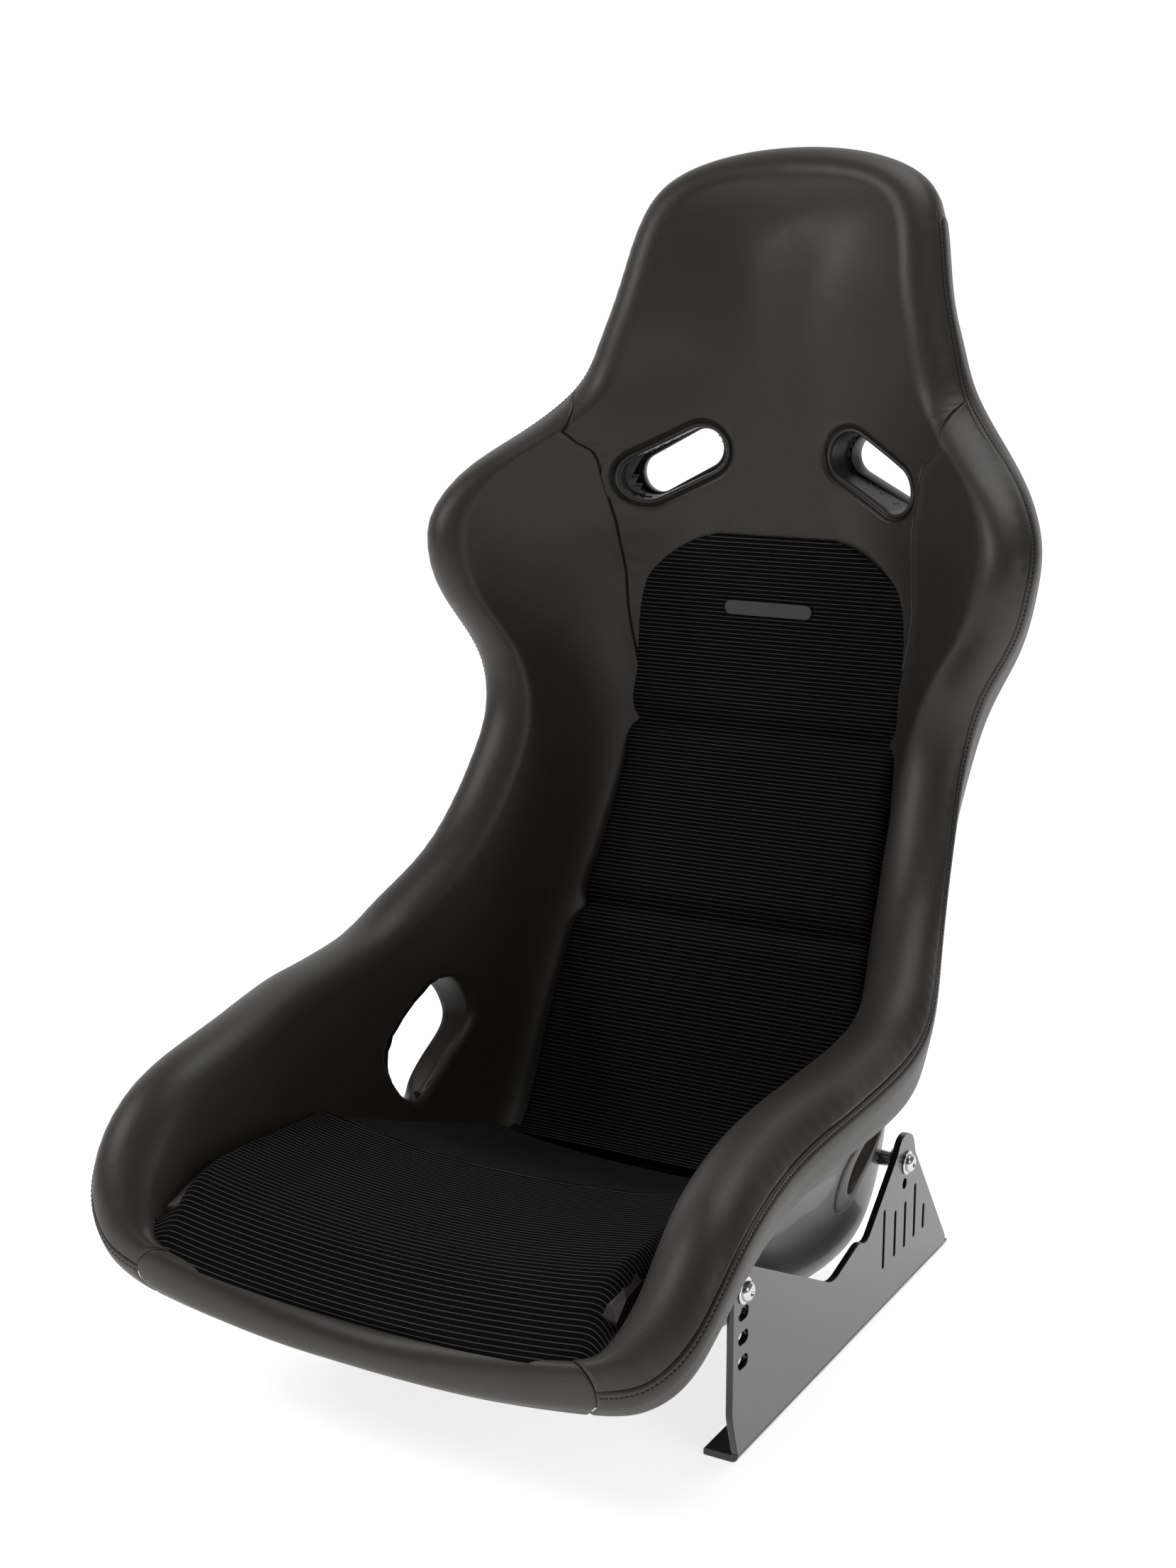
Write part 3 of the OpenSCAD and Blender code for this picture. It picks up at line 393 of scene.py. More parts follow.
# ------------------------------------------------------------------ leather
NECK = [(12.9,1.18),(13.7,1.24),(14.3,1.275),(14.93,1.31),(15.6,1.41),(16.3,1.52),(16.8,1.6),(17.4,1.72),(17.7,1.85),(18.1,2.02),(18.46,2.25),(18.7,2.48),(18.89,2.72),(19.02,3.0)]
T_TOP, T_END = 19.02, 22.35


def drop(d, deep=1.7, wide=2.6):
    return -deep*(1-np.clip(d/wide, 0, 1))**2


def edge_cols(n, wide=0.05, fine=7, ends=(True, True)):
    """0..1 with more columns next to the chosen ends."""
    c = np.linspace(0, 1, n); e = wide*(np.linspace(0, 1, fine+2)[1:-1])**1.5
    out = [c] + ([e*0.6] if ends[0] else []) + ([1-e*0.6] if ends[1] else [])
    return np.unique(np.concatenate(out))


def crumple(P, S_amp=0.32, seed=1, scale=38.0):
    """Slight unevenness of a glued cover, moved along the surface normal."""
    du = np.gradient(P, axis=1); dt = np.gradient(P, axis=0); N = nrm(np.cross(dt, du)+1e-9)
    n = noise3(P, scale, seed)*S_amp+noise3(P, scale*0.4, seed+3)*S_amp*0.35
    return P+N*n[..., None]


HIP_IN = [(50,207),(36,206.5),(13,198),(-6,188),(-24,178),(-33,169),(-34,158),(-28,146),(-21,135),(-12,124),(-3,118),(6,115),(21,119),(38,129),(54,141),(68,151),(77,160),(81,169),(79,182),(72,195),(62,205)]
HIP_OUT = [(54,200),(43,194),(28,186),(12,178),(0,170),(-5,160),(-7,148),(-5,136),(-2,126),(3,118),(9,114),(14,115),(24,125),(44,138),(60,148),(70,156),(75,164),(76,172),(74,183),(70,192),(62,199)]


def closed(pts, n=220):
    """Even, rounded closed outline through listed corners."""
    p = np.array(pts, float); k = len(p); t = np.linspace(0, k, 40*k, endpoint=False); i = t.astype(int); f = (t-i)[:, None]
    a, b, c, d = p[(i-1) % k], p[i % k], p[(i+1) % k], p[(i+2) % k]
    q = .5*((2*b)+(-a+c)*f+(2*a-5*b+4*c-d)*f**2+(-a+3*b-3*c+d)*f**3)
    for _ in range(60): q = (np.roll(q, 1, 0)+2*q+np.roll(q, -1, 0))/4
    s = np.concatenate([[0], np.cumsum(np.linalg.norm(np.diff(np.vstack([q, q[:1]]), axis=0), axis=1))]); qq = np.vstack([q, q[:1]])
    x = np.linspace(0, s[-1], n, endpoint=False)
    return np.stack([np.interp(x, s, qq[:, j]) for j in (0, 1)], 1)


def outward(q):
    d = np.roll(q, -1, 0)-np.roll(q, 1, 0); n = np.stack([d[:, 1], -d[:, 0]], 1); n = nrm(n)
    area = np.sum(q[:, 0]*np.roll(q[:, 1], -1)-np.roll(q[:, 0], -1)*q[:, 1])
    return n if area > 0 else -n


def inside(pts, poly):
    x, y = pts[..., 0], pts[..., 1]; r = np.zeros(x.shape, bool); a = poly; b = np.roll(poly, -1, 0)
    for (x1, y1), (x2, y2) in zip(a, b):
        c = ((y1 > y) != (y2 > y)) & (x < (x2-x1)*(y-y1)/(y2-y1+1e-12)+x1); r ^= c
    return r


def dist_poly(pts, poly, close=True):
    a = poly if close else poly[:-1]; b = np.roll(poly, -1, 0) if close else poly[1:]
    best = np.full(pts.shape[:-1], 1e9)
    for p, q in zip(a, b):
        d = q-p; L = d@d+1e-12; t = np.clip(((pts-p)@d)/L, 0, 1); best = np.minimum(best, np.linalg.norm(pts-(p+t[..., None]*d), axis=-1))
    return best


def build_side():
    seam_t = 2.0+np.array([0.004, .02, .04, .065, .09, .13])
    ts = np.unique(np.concatenate([seam_t, np.linspace(2.18, 18.2, 330), 18.2+(T_TOP-18.2)*np.linspace(0, 1, 46)**0.8]))
    S = Sect(ts); ua = np.where(ts < 13, 1.02, 0); m = ts >= 13
    ua[m] = table(ts[m], NECK); k = (ts > 12) & (ts < 13); ua[k] = 1.02+(1.18-1.02)*smooth(12, 13, ts[k])
    ua[ts >= T_TOP-1e-6] = 2.999
    w = edge_cols(84, 0.09, 10, (True, True)); U = ua[:, None]+(3-ua[:, None])*w
    P = S.cov(U, 0); s = arclen(P, 1); d_in = s; d_rim = s[:, -1:]-s; d_front = arclen(P, 0)
    x0 = P[0, :, 0]; d_front = np.abs(P[..., 0]-x0[None])+0*d_front
    d_front = np.where(ts[:, None] < 3.2, d_front, 50)
    off = 0.35*smooth(0, 26, d_rim)+drop(d_rim, 1.9, 2.4)+drop(d_front, 1.4, 2.4)
    neck = smooth(13.2, 14.2, ts)[:, None]
    off = off+neck*(0.9*np.exp(-(d_in/7)**2)+drop(d_in, 2.2, 1.7))
    # slight pulls beside the rim seam
    a = arclen(P[:, -1:], 0); off = off+0.16*np.sin(a/2.35+1.7*np.sin(a/19.0))*np.exp(-((d_rim-7)/6)**2)*(d_rim > 2)
    P = S.cov(U, off); P = crumple(P, 0.30, 3)
    hp = closed(HIP_IN, 200); yz = P[..., 1:]; near = (ts > 6.5) & (ts < 11); D = np.zeros(U.shape, bool)
    q = yz[near]; ins = inside(q, hp) | (dist_poly(q, hp) < 15); D[near] = ins & (P[near][..., 0] > 120)
    both("side_leather", P, LEATHER, drop=D)
    rim = Sect(ts)
    return ts


def hip_rings():
    n = 240; q1 = closed(HIP_IN, n); N1 = outward(q1); q2 = closed(HIP_OUT, n)
    k = np.argmin(np.linalg.norm(q2-q1[0], axis=1)); q2 = np.roll(q2, -k, 0)
    # how rounded the edge is: broad at the rear, tight at the front and at the two pinched ends
    y, z = q1[:, 0], q1[:, 1]; c = q1.mean(0); rear = smooth(-0.15, 0.75, (N1[:, 0]*0.93-N1[:, 1]*0.36))
    R = 2.6+7.0*rear
    rings = []
    dd = np.array([19, 17, 15, 13, 11, 9.5, 8, 6.5, 5.2, 4, 3, 2, 1.2, .6, .25, 0.06])
    t0, u0 = 8.6, 1.65
    prev = None
    for d in dd:
        tgt = q1+N1*d
        t, u = solve_tu(tgt, [1, 2], t0 if prev is None else prev[0], u0 if prev is None else prev[1], it=22 if prev is None else 6); prev = (t, u)
        rr = np.clip(R, .1, None); x = np.clip(d/rr, 0, 1); off = -(rr*0.85)*(1-np.sqrt(np.clip(1-(1-x)**2, 0, 1)))+0.25*smooth(5, 18, d)*0
        rings.append(point(t, u, off))
    last = rings[-1]
    t, u = solve_tu(q2, [1, 2], 8.6, 1.7, shell=True, it=26); outp = point(t, u, 0.5, shell=True)
    for f in (.12, .25, .4, .55, .7, .85, 1.0):
        b = last*(1-f)+outp*f; rings.append(b)
    N2 = outward(q2); back = []
    for d, o in ((0.8, 1.6), (2.2, 2.3), (5, 2.4), (9, 2.3), (13, 2.0), (15.5, 1.5), (16.6, 0.6), (16.8, -0.6)):
        tt, uu = solve_tu(q2+N2*d, [1, 2], t, u, shell=True, it=8); rings.append(point(tt, uu, o, shell=True))
    P = np.stack(rings, 0)
    both("hip_opening", P, LEATHER, wrap=True)


def head_cols(ue, t):
    w = edge_cols(110, 0.06, 8, (False, True)); return ue[:, None]*w


SLOT_C, SLOT_TILT, SLOT_HALF = (89.0, 615.6), math.radians(-28), 24.8


def slot_outline(R, n=128):
    """Stadium round the shoulder opening at distance R from its middle line: x and z."""
    a = np.linspace(0, 2*math.pi, n, endpoint=False)
    per = 4*SLOT_HALF+2*math.pi*24.0; s = a/(2*math.pi)*per; L = 2*SLOT_HALF; A = math.pi*24.0; p = []
    for v in s:
        if v < L: p.append((-SLOT_HALF+v, R))
        elif v < L+A: an = math.pi/2-(v-L)/24.0; p.append((SLOT_HALF+R*math.cos(an), R*math.sin(an)))
        elif v < 2*L+A: p.append((SLOT_HALF-(v-L-A), -R))
        else: an = -math.pi/2-(v-2*L-A)/24.0; p.append((-SLOT_HALF+R*math.cos(an), R*math.sin(an)))
    p = np.array(p); c, s_ = math.cos(SLOT_TILT), math.sin(SLOT_TILT)
    return np.stack([SLOT_C[0]+p[:, 0]*c-p[:, 1]*s_, SLOT_C[1]+p[:, 0]*s_+p[:, 1]*c], 1)


def slot_dist(x, z):
    c, s_ = math.cos(SLOT_TILT), math.sin(SLOT_TILT); dx, dz = np.abs(x)-SLOT_C[0], z-SLOT_C[1]
    a, b = dx*c+dz*s_, -dx*s_+dz*c; return np.hypot(np.maximum(np.abs(a)-SLOT_HALF, 0), b)


def build_head():
    ts = np.unique(np.concatenate([np.linspace(13.0, 18.2, 150), 18.2+(T_TOP-18.2)*np.linspace(0, 1, 40)**0.8, np.linspace(T_TOP+.01, 22.3, 110), np.linspace(22.3, 25, 90)]))
    S = Sect(ts); ue = np.where(ts < T_TOP, table(ts, NECK), 3.0)
    U = head_cols(ue, ts); P = S.cov(U, 0); s = arclen(P, 1); d = s[:, -1:]-s
    on = ((ts < T_END)*1.0)[:, None]; below = (ts < T_TOP)[:, None]
    off = np.where(below, drop(d, 2.1, 3.2), drop(d, 1.9, 2.4)*on)
    a = arclen(P[:, -1:], 0)
    off = off+0.14*np.sin(a/2.3+1.5*np.sin(a/17.0))*np.exp(-((d-8)/6)**2)*(d > 2)*on
    P = S.cov(U, off)
    drp = slot_dist(P[..., 0], P[..., 2]) < 29.8
    F = grid_faces(*P.shape[:2], 0, True); F = F[~drp.ravel()[F].all(1)]
    V = P.reshape(-1, 3); V2 = mirror_x(V); k = len(V)
    W = np.vstack([V, V2]); FF = np.vstack([F, F[:, ::-1]+k])
    # tail that turns over the top of the head
    tt = np.linspace(22.2, 25, 80); ST = Sect(tt); w = np.linspace(0, 1, 24); UT = 2.98+w*1.02
    T = ST.cov(np.broadcast_to(UT, (80, 24)), np.where(tt[:, None] < 22.5, -0.9, -0.9*(1-smooth(22.5, 22.8, tt[:, None])))*np.ones((1, 24)))
    T = np.concatenate([T, T[:, -1:]+0], 1); inner = ST.cov(np.full((80, 1), 3.97), -2.2); T[:, -1:] = inner
    FT = grid_faces(*T.shape[:2], 0, True); VT = T.reshape(-1, 3)
    W = np.vstack([W, VT, mirror_x(VT)]); FF = np.vstack([FF, FT+2*k, FT[:, ::-1]+2*k+len(VT)])
    W = W+nrm(W-np.array([0, 600, 600]))*0  # placed as built
    n3 = noise3(W, 42.0, 5)*0.28+noise3(W, 16.0, 8)*0.09
    W = W+np.array([0, -1, 0])*n3[:, None]*smooth(14, 0, np.abs(0*n3))[:, None]*1.0
    mesh_obj("head_leather", W, FF, LEATHER, merge=0.01)


def slot_rings():
    """Leather that dips round each shoulder opening, the bezel with its tunnel, and the rear ring."""
    prof = [(32.5, 0.02), (31.5, 0), (30.5, -.03), (29.3, -.12), (28.3, -.3), (27.4, -.6), (26.6, -1.1), (25.9, -1.8), (25.3, -2.6), (24.8, -3.4), (24.2, -4.1), (23.2, -4.5), (21.8, -4.6), (20.5, -4.6)]
    t, u = None, None; R = []; hold = {}
    for r, o in prof:
        g = slot_outline(r)
        t, u = solve_tu(g, [0, 2], 16.5 if t is None else t, 0.9 if u is None else u, it=24 if t is None else 6)
        R.append(point(t, u, o))
    both("slot_leather", np.stack(R, 0), LEATHER, wrap=True)
    rows = []; lean = math.tan(math.radians(15)); ref = None
    for r, o in ((23.5, -6), (23.4, -4.0), (23.1, -3.0), (22.5, -2.25), (21.7, -1.85), (20.9, -1.85), (20.2, -2.3), (19.6, -3.2), (19.2, -4.4), (19.0, -6.2), (18.9, -8.5)):
        g = slot_outline(r); tt, uu = solve_tu(g, [0, 2], t, u, it=8); rows.append(point(tt, uu, o))
    base = rows[-1]; back_y = 321.0
    for f in np.linspace(0.12, 1, 9):
        p = base.copy(); p[:, 1] = base[:, 1]+(back_y-base[:, 1])*f; p[:, 0] += (p[:, 1]-base[:, 1])*lean
        c = np.array([SLOT_C[0]+(p[:, 1].mean()-277)*lean, SLOT_C[1]]); p[:, [0, 2]] = c+(p[:, [0, 2]]-c)*(1-0.06*f); rows.append(p)
    both("belt_bezel", np.stack(rows, 0), PLASTIC, wrap=True)
    # rear ring, in the lighter grey that holds a painted highlight
    rows = []
    for r, yy in ((18.6, 311.5), (17.9, 310.6), (17.0, 310.6), (16.5, 311.4), (16.5, 318), (17.0, 322.4), (18.4, 323.4), (24, 323.4), (27, 323.0), (28, 321.6), (28, 317)):
        g = slot_outline(r); p = np.stack([g[:, 0]+(yy-277)*lean, np.full(len(g), yy), g[:, 1]], 1); rows.append(p)
    both("belt_rear_ring", np.stack(rows, 0), REAR_RING_PAINTED_HIGHLIGHT, wrap=True)


def build_front():
    ts = np.unique(np.concatenate([np.linspace(0, 1.88, 60), 2-np.array([.004, .02, .04, .065, .09])])); S = Sect(ts)
    us = np.concatenate([np.linspace(1.02, 2, 22), np.linspace(2.03, 4, 60)]); U = np.broadcast_to(us, (len(ts), len(us)))
    P0 = S.cov(U, 0); d = np.abs(P0[-1:, :, 0]-P0[..., 0]); off = drop(d, 1.4, 2.4)
    P = S.cov(U, off); inner = S.cov(np.full((len(ts), 1), 3.98), -2.4); P = np.concatenate([P, inner], 1)
    full = np.concatenate([mirror_x(P[:0:-1]), P], 0)
    full = crumple(full, 0.22, 9)
    n, m = full.shape[:2]
    mesh_obj("front_roll", full.reshape(-1, 3), grid_faces(n, m, 0, True), LEATHER)


def build_strip():
    ts = np.unique(np.concatenate([2+np.array([.004, .02, .04, .065, .09, .13]), np.linspace(2.18, 22.0, 400), np.linspace(22.0, T_END, 24)])); S = Sect(ts)
    w = np.unique(np.concatenate([np.linspace(0, 1, 26), np.linspace(0, .22, 18)]))
    # rounded upper end
    P0 = S.cov(np.broadcast_to(3+w, (len(ts), len(w))), 0); mid = P0[:, len(w)//2]; dl = np.linalg.norm(mid-mid[-1], axis=1); rc = 11.0
    wid = arclen(P0, 1)[:, -1]; cut = np.where(dl < rc, rc-np.sqrt(np.clip(rc**2-(rc-dl)**2, 0, None)), 0)
    wa = np.clip(cut/wid, 0, .95)[:, None]; U = 3+wa+(1-wa)*w[None]
    P0 = S.cov(U, 0); l = arclen(P0, 1); tot = l[:, -1:]
    d_front = np.abs(P0[..., 0]-P0[0:1, :, 0]); d_front = np.where(ts[:, None] < 3.2, d_front, 50)
    d_end = np.where(ts[:, None] > 21, dl[:, None]+0*l, 50)
    off = 0.45*smooth(0, 9, l)*smooth(0, 7, tot-l)+drop(l, 1.9, 2.1)+drop(d_front, 1.4, 2.4)+drop(d_end, 1.5, 2.4)-0.55*np.exp(-((l-4.2)/1.1)**2)
    a = arclen(P0[:, :1], 0); off = off+0.10*np.sin(a/1.15)*np.exp(-((l-3.6)/2.2)**2)
    P = S.cov(U, off); inner = S.cov(np.full((len(ts), 1), 3.985), -2.6); P = np.concatenate([P, inner], 1)
    both("rim_strip", crumple(P, 0.14, 12), LEATHER)
    # topstitch
    k = ts < 22.28; SS = Sect(ts[k]); tot = np.maximum(SS.arc+2, SS.q[:, 9]); u = 3+4.2/tot
    path = SS.cov(u[:, None], 0.02)[:, 0]; up = SS.cov(u[:, None], 1.0)[:, 0]-path
    for sgn, side in ((1, "right"), (-1, "left")):
        pp, nn = (path, up) if sgn > 0 else (mirror_x(path), mirror_x(up))
        stitches("rim_stitch_"+side, pp, nn, STITCH)


build_side(); hip_rings(); build_head(); slot_rings(); build_front(); build_strip()

# ------------------------------------------------------------------ cushions
def closed_solid(name, top, bot, mat, body, uv, n_wall=3, extra=None):
    """A stuffed piece from a top and a bottom grid that share their rim positions in plan."""
    n, m = top.shape[:2]
    F1 = grid_faces(n, m, 0, True); F2 = grid_faces(n, m, n*m, False)
    ring = [(0, j) for j in range(m)]+[(i, m-1) for i in range(1, n)]+[(n-1, j) for j in range(m-2, -1, -1)]+[(i, 0) for i in range(n-2, 0, -1)]
    idx = np.array([i*m+j for i, j in ring]); nx = np.roll(idx, -1)
    V = [top.reshape(-1, 3), bot.reshape(-1, 3)]; o = 2*n*m; rows = [idx]
    for k in range(1, n_wall):
        f = k/n_wall; V.append(top.reshape(-1, 3)[idx]*(1-f)+bot.reshape(-1, 3)[idx]*f); rows.append(np.arange(len(idx))+o); o += len(idx)
    rows.append(idx+n*m); W = []
    for a, b in zip(rows[:-1], rows[1:]): W.append(np.stack([a, np.roll(a, -1), np.roll(b, -1), b], -1))
    F = np.vstack([F1, F2]+[w[:, ::-1] for w in W]); V = np.vstack(V)
    u = np.zeros((len(V), 2)); f = uv.reshape(-1, 2); u[:n*m] = f; u[n*m:2*n*m] = f; o = 2*n*m
    fall = (top-bot).reshape(-1, 3)[idx, 2]
    for k in range(1, n_wall): u[o:o+len(idx)] = f[idx]-np.stack([0*fall, fall*k/n_wall], -1); o += len(idx)
    ob = mesh_obj(name, V, F, mat, body, uv=u); return ob


def spine_s(m):
    g = np.linspace(0, 16, 1601); p = SPN(g); s = np.concatenate([[0], np.cumsum(np.linalg.norm(np.diff(p, axis=0), axis=1))])
    return np.interp(m, g, s)


BACK_HALF = [(9,147),(9.75,147),(10.5,144.5),(11,140),(11.5,134),(12,128),(13,124.5),(13.6,126.5),(14,129),(14.4,130.5),(14.7,128),(15.0,119.5),(15.3,105),(15.5,92),(15.65,80),(15.76,68),(15.84,54)]
BACK_FACE = [(9,17),(9.75,18),(11,20),(12,18.5),(13,15.5),(14,11),(15,9.5),(15.84,9.5)]
GROOVE = ((237.0, 9.0), (392.0, 9.0))


def z_to_s(z):
    g = np.linspace(4, 14, 2001); return spine_s(np.interp(z, SPN(g)[:, 1], g))


def build_back():
    t1 = 15.84; ts = np.unique(np.concatenate([np.linspace(9.75, 14.2, 170), np.linspace(14.2, 15.5, 70), t1-(t1-15.5)*(np.linspace(1, 0, 26)**1.7)]))
    S = Sect(ts); m = S.q[:, 0]; s0 = spine_s(m); X = table(ts, BACK_HALF)
    for z, _ in GROOVE: X = X-3.0*np.exp(-((s0-z_to_s(z))/6.0)**2)
    w = np.sin(np.linspace(-1, 1, 121)*math.pi/2*0.985)/math.sin(math.pi/2*0.985); x = X[:, None]*w[None]; s = np.broadcast_to(s0[:, None], x.shape)
    out = np.concatenate([np.stack([X, s0], 1), np.stack([-X, s0], 1)[::-1]]); d = dist_poly(np.stack([x, s], -1), out)
    d = np.minimum(d, np.abs(s-s0[-1])+0*x); d = np.where(s < s0[0]+25, np.minimum(np.abs(X[:, None]-np.abs(x)), 99), d)
    F = table(ts, BACK_FACE)[:, None]; R = 11.5
    k = np.clip(d/R, 0, 1); roundn = 1-np.sqrt(np.clip(1-(1-k)**2, 0, 1))
    h = F+0.8*(1-(x/np.maximum(X[:, None], 1))**2)
    for z, deep in GROOVE:
        g = (s-z_to_s(z)); up = np.where(g > 0, g/13.0, g/9.5)
        h = h+1.6*np.exp(-((np.abs(g)-17)/13)**2) - deep*np.exp(-np.abs(up)**1.35*1.15)
    h = h+0.5*noise3(np.stack([x, s, 0*x], -1), 60, 4)+0.18*noise3(np.stack([x, s, 0*x], -1), 22, 6)
    low0 = np.where(ts[:, None] < 14, -S.q[:, 10:11]+7.5, 0.9)
    q = S.q; b = (q[:, 3]*q[:, 2])[:, None]; side = np.clip(np.abs(x)-b, 0, None)
    lowt = 0.9+side*0.10+side**2*0.0045; low = np.where(ts[:, None] < 14, np.where(np.abs(x) < b-3, low0, lowt), lowt)
    low = np.minimum(low, h-3); floor = np.maximum(low+1.2, lowt+0.3)
    h = h-roundn*np.minimum(R, np.maximum(h-floor, 1.0))
    h = np.where(d < 0.2, np.minimum(h, floor), h)
    p = SPN(m); T = nrm(SPN.d(m))
    def at_h(hh): return np.stack([x, p[:, :1]-T[:, 1:]*hh, p[:, 1:]+T[:, :1]*hh], -1)
    closed_solid("back_pad_cloth", at_h(h), at_h(low), FABRIC, "back_pad", np.stack([x, s], -1))


SEAT_LINE = [(-341,103),(-339,110),(-334,120),(-326,130),(-314,139.5),(-298,147),(-278,151.5),(-255,153.2),(-225,153),(-195,151.5),(-168,149.5),(-150,148),(-143.5,145.2),(-138,142.5),(-126,137),(-80,118),(-30,98),(30,78),(84,66),(110,62)]


def welt_y(x):
    return -143+2.0*(x/145)**2


def seat_outline():
    e = [(0,2.5),(1,2.5),(2,2.46),(2.6,2.22),(3.2,1.98),(4,1.74),(5,1.6),(6,1.55),(7,1.5),(8,1.36),(9,1.2),(9.2,1.16)]
    t = np.linspace(0, 9.2, 500); return Sect(t).cov(table(t, e)[:, None], 0.3)[:, 0]


def seat_top(x, y):
    yy = y-(welt_y(x)+143)*np.exp(-((y+143)/40)**2)
    z = table(yy, SEAT_LINE); crown = 14.0*(np.abs(x)/160)**2.2*smooth(-335, -285, y)
    return z+crown


def build_seat():
    O = seat_outline(); cx, cy = O[:, 0], O[:, 1]
    i0 = np.argmax(O[:, 0] > 176); i0 = np.argmin(np.abs(O[:, 0]-183)+(O[:, 1] > -320)*50)
    front = O[:i0+1]; side = O[i0:]
    nF, nS = 150, 190
    def res(c, n, power=1.0):
        s = np.concatenate([[0], np.cumsum(np.linalg.norm(np.diff(c, axis=0), axis=1))]); x = np.linspace(0, 1, n)**power*s[-1]
        return np.stack([np.interp(x, s, c[:, k]) for k in range(3)], 1)
    f = res(front, nF//2+1); f = np.vstack([mirror_x(f[:0:-1]), f]); m = len(f)
    sd = res(side, nS); n = len(sd)
    rear_x = np.linspace(-sd[-1, 0], sd[-1, 0], m)
    rear = np.stack([rear_x, np.full(m, sd[-1, 1]), np.full(m, sd[-1, 2])], 1)
    sv = np.sin(np.linspace(0, 1, n)*math.pi/2)**1.0; v = (1-np.cos(np.linspace(0, 1, n)*math.pi))/2
    v = 0.5*v+0.5*np.linspace(0, 1, n)
    s = np.linspace(0, 1, n); sdv = np.stack([np.interp(v, s, sd[:, k]) for k in range(3)], 1)
    w = np.linspace(-1, 1, m); w = 0.55*w+0.45*np.sin(w*math.pi/2); fi = np.stack([np.interp(w, np.linspace(-1, 1, m), f[:, k]) for k in range(3)], 1)
    rear = np.stack([w*sd[-1, 0], np.full(m, sd[-1, 1]), np.full(m, sd[-1, 2])], 1)
    a = ((w+1)/2)[None, :, None]; V = v[:, None, None]
    L, R = mirror_x(sdv)[:, None], sdv[:, None]
    P = (1-V)*fi[None]+V*rear[None]+(1-a)*L+a*R-((1-a)*(1-V)*fi[0]+a*(1-V)*fi[-1]+(1-a)*V*rear[0]+a*V*rear[-1])
    x, y, ze = P[..., 0], P[..., 1], P[..., 2]
    out = np.vstack([f[:, :2], sd[1:, :2], mirror_x(sd[1:])[::-1][:, :2]])
    poly = np.vstack([mirror_x(sd)[::-1][:, :2], f[1:-1, :2], sd[:, :2]]); d = dist_poly(np.stack([x, y], -1), poly, False)
    top = seat_top(x, y)
    # nearest edge height
    Rr = 15+10*smooth(-250, -320, y); k = np.clip(d/Rr, 0, 1); prof = np.sqrt(np.clip(1-(1-k)**2, 0, 1))
    frontness = smooth(-300, -336, y)*smooth(175, 120, np.abs(x))
    edge = np.minimum(ze, top-1)
    side_h = edge+(top-edge)*prof
    kk = np.clip(d/34, 0, 1); ph = np.sqrt(np.clip(1-(1-kk)**2, 0, 1)); front_h = edge+(np.maximum(top, edge)-edge)*np.maximum(ph, 0)
    z = side_h*(1-frontness)+front_h*frontness
    z = z+0.6*noise3(np.stack([x, y, 0*x], -1), 75, 11)*k+0.2*noise3(np.stack([x, y, 0*x], -1), 26, 13)*k
    # welt seam across, behind the thigh support
    g = y-welt_y(x); z = z-2.4*np.exp(-(g/2.2)**2)*(np.abs(x) < 172)+1.1*np.exp(-((g+5)/3.2)**2)-3.0*smooth(0, 5, g)*smooth(60, 5, g)
    topP = np.stack([x, y, z], -1)
    cen = seat_top(0*y[:, m//2], y[:, m//2]); sy = np.concatenate([[0], np.cumsum(np.hypot(np.diff(y[:, m//2]), np.diff(topP[:, m//2, 2])))])
    sc = np.vstack([np.zeros((1, m)), np.cumsum(np.hypot(np.diff(y, axis=0), np.diff(z, axis=0)), axis=0)])
    yref = -270.0; ref = np.array([np.interp(yref, y[:, j], sc[:, j]) for j in range(m)])
    along = np.where(y < yref, sc-ref[None]+np.interp(yref, y[:, m//2], sy), np.interp(y, y[:, m//2], sy))
    uv = np.stack([x, along], -1)
    bot = topP.copy(); hb = 50+0*y; base = np.interp(y, SPN(np.linspace(0, 6, 200))[:, 0], SPN(np.linspace(0, 6, 200))[:, 1])-4.0
    side_up = np.clip((np.abs(x)-130)/45, 0, 1)**2*40; bot[..., 2] = np.minimum(np.maximum(base+side_up, 36+68*smooth(-225, -290, y)), z-2.0)
    ob = closed_solid("seat_pad_cloth", topP, bot, FABRIC_SEAT, "seat_pad", uv)
    return topP, d


build_back(); build_seat()

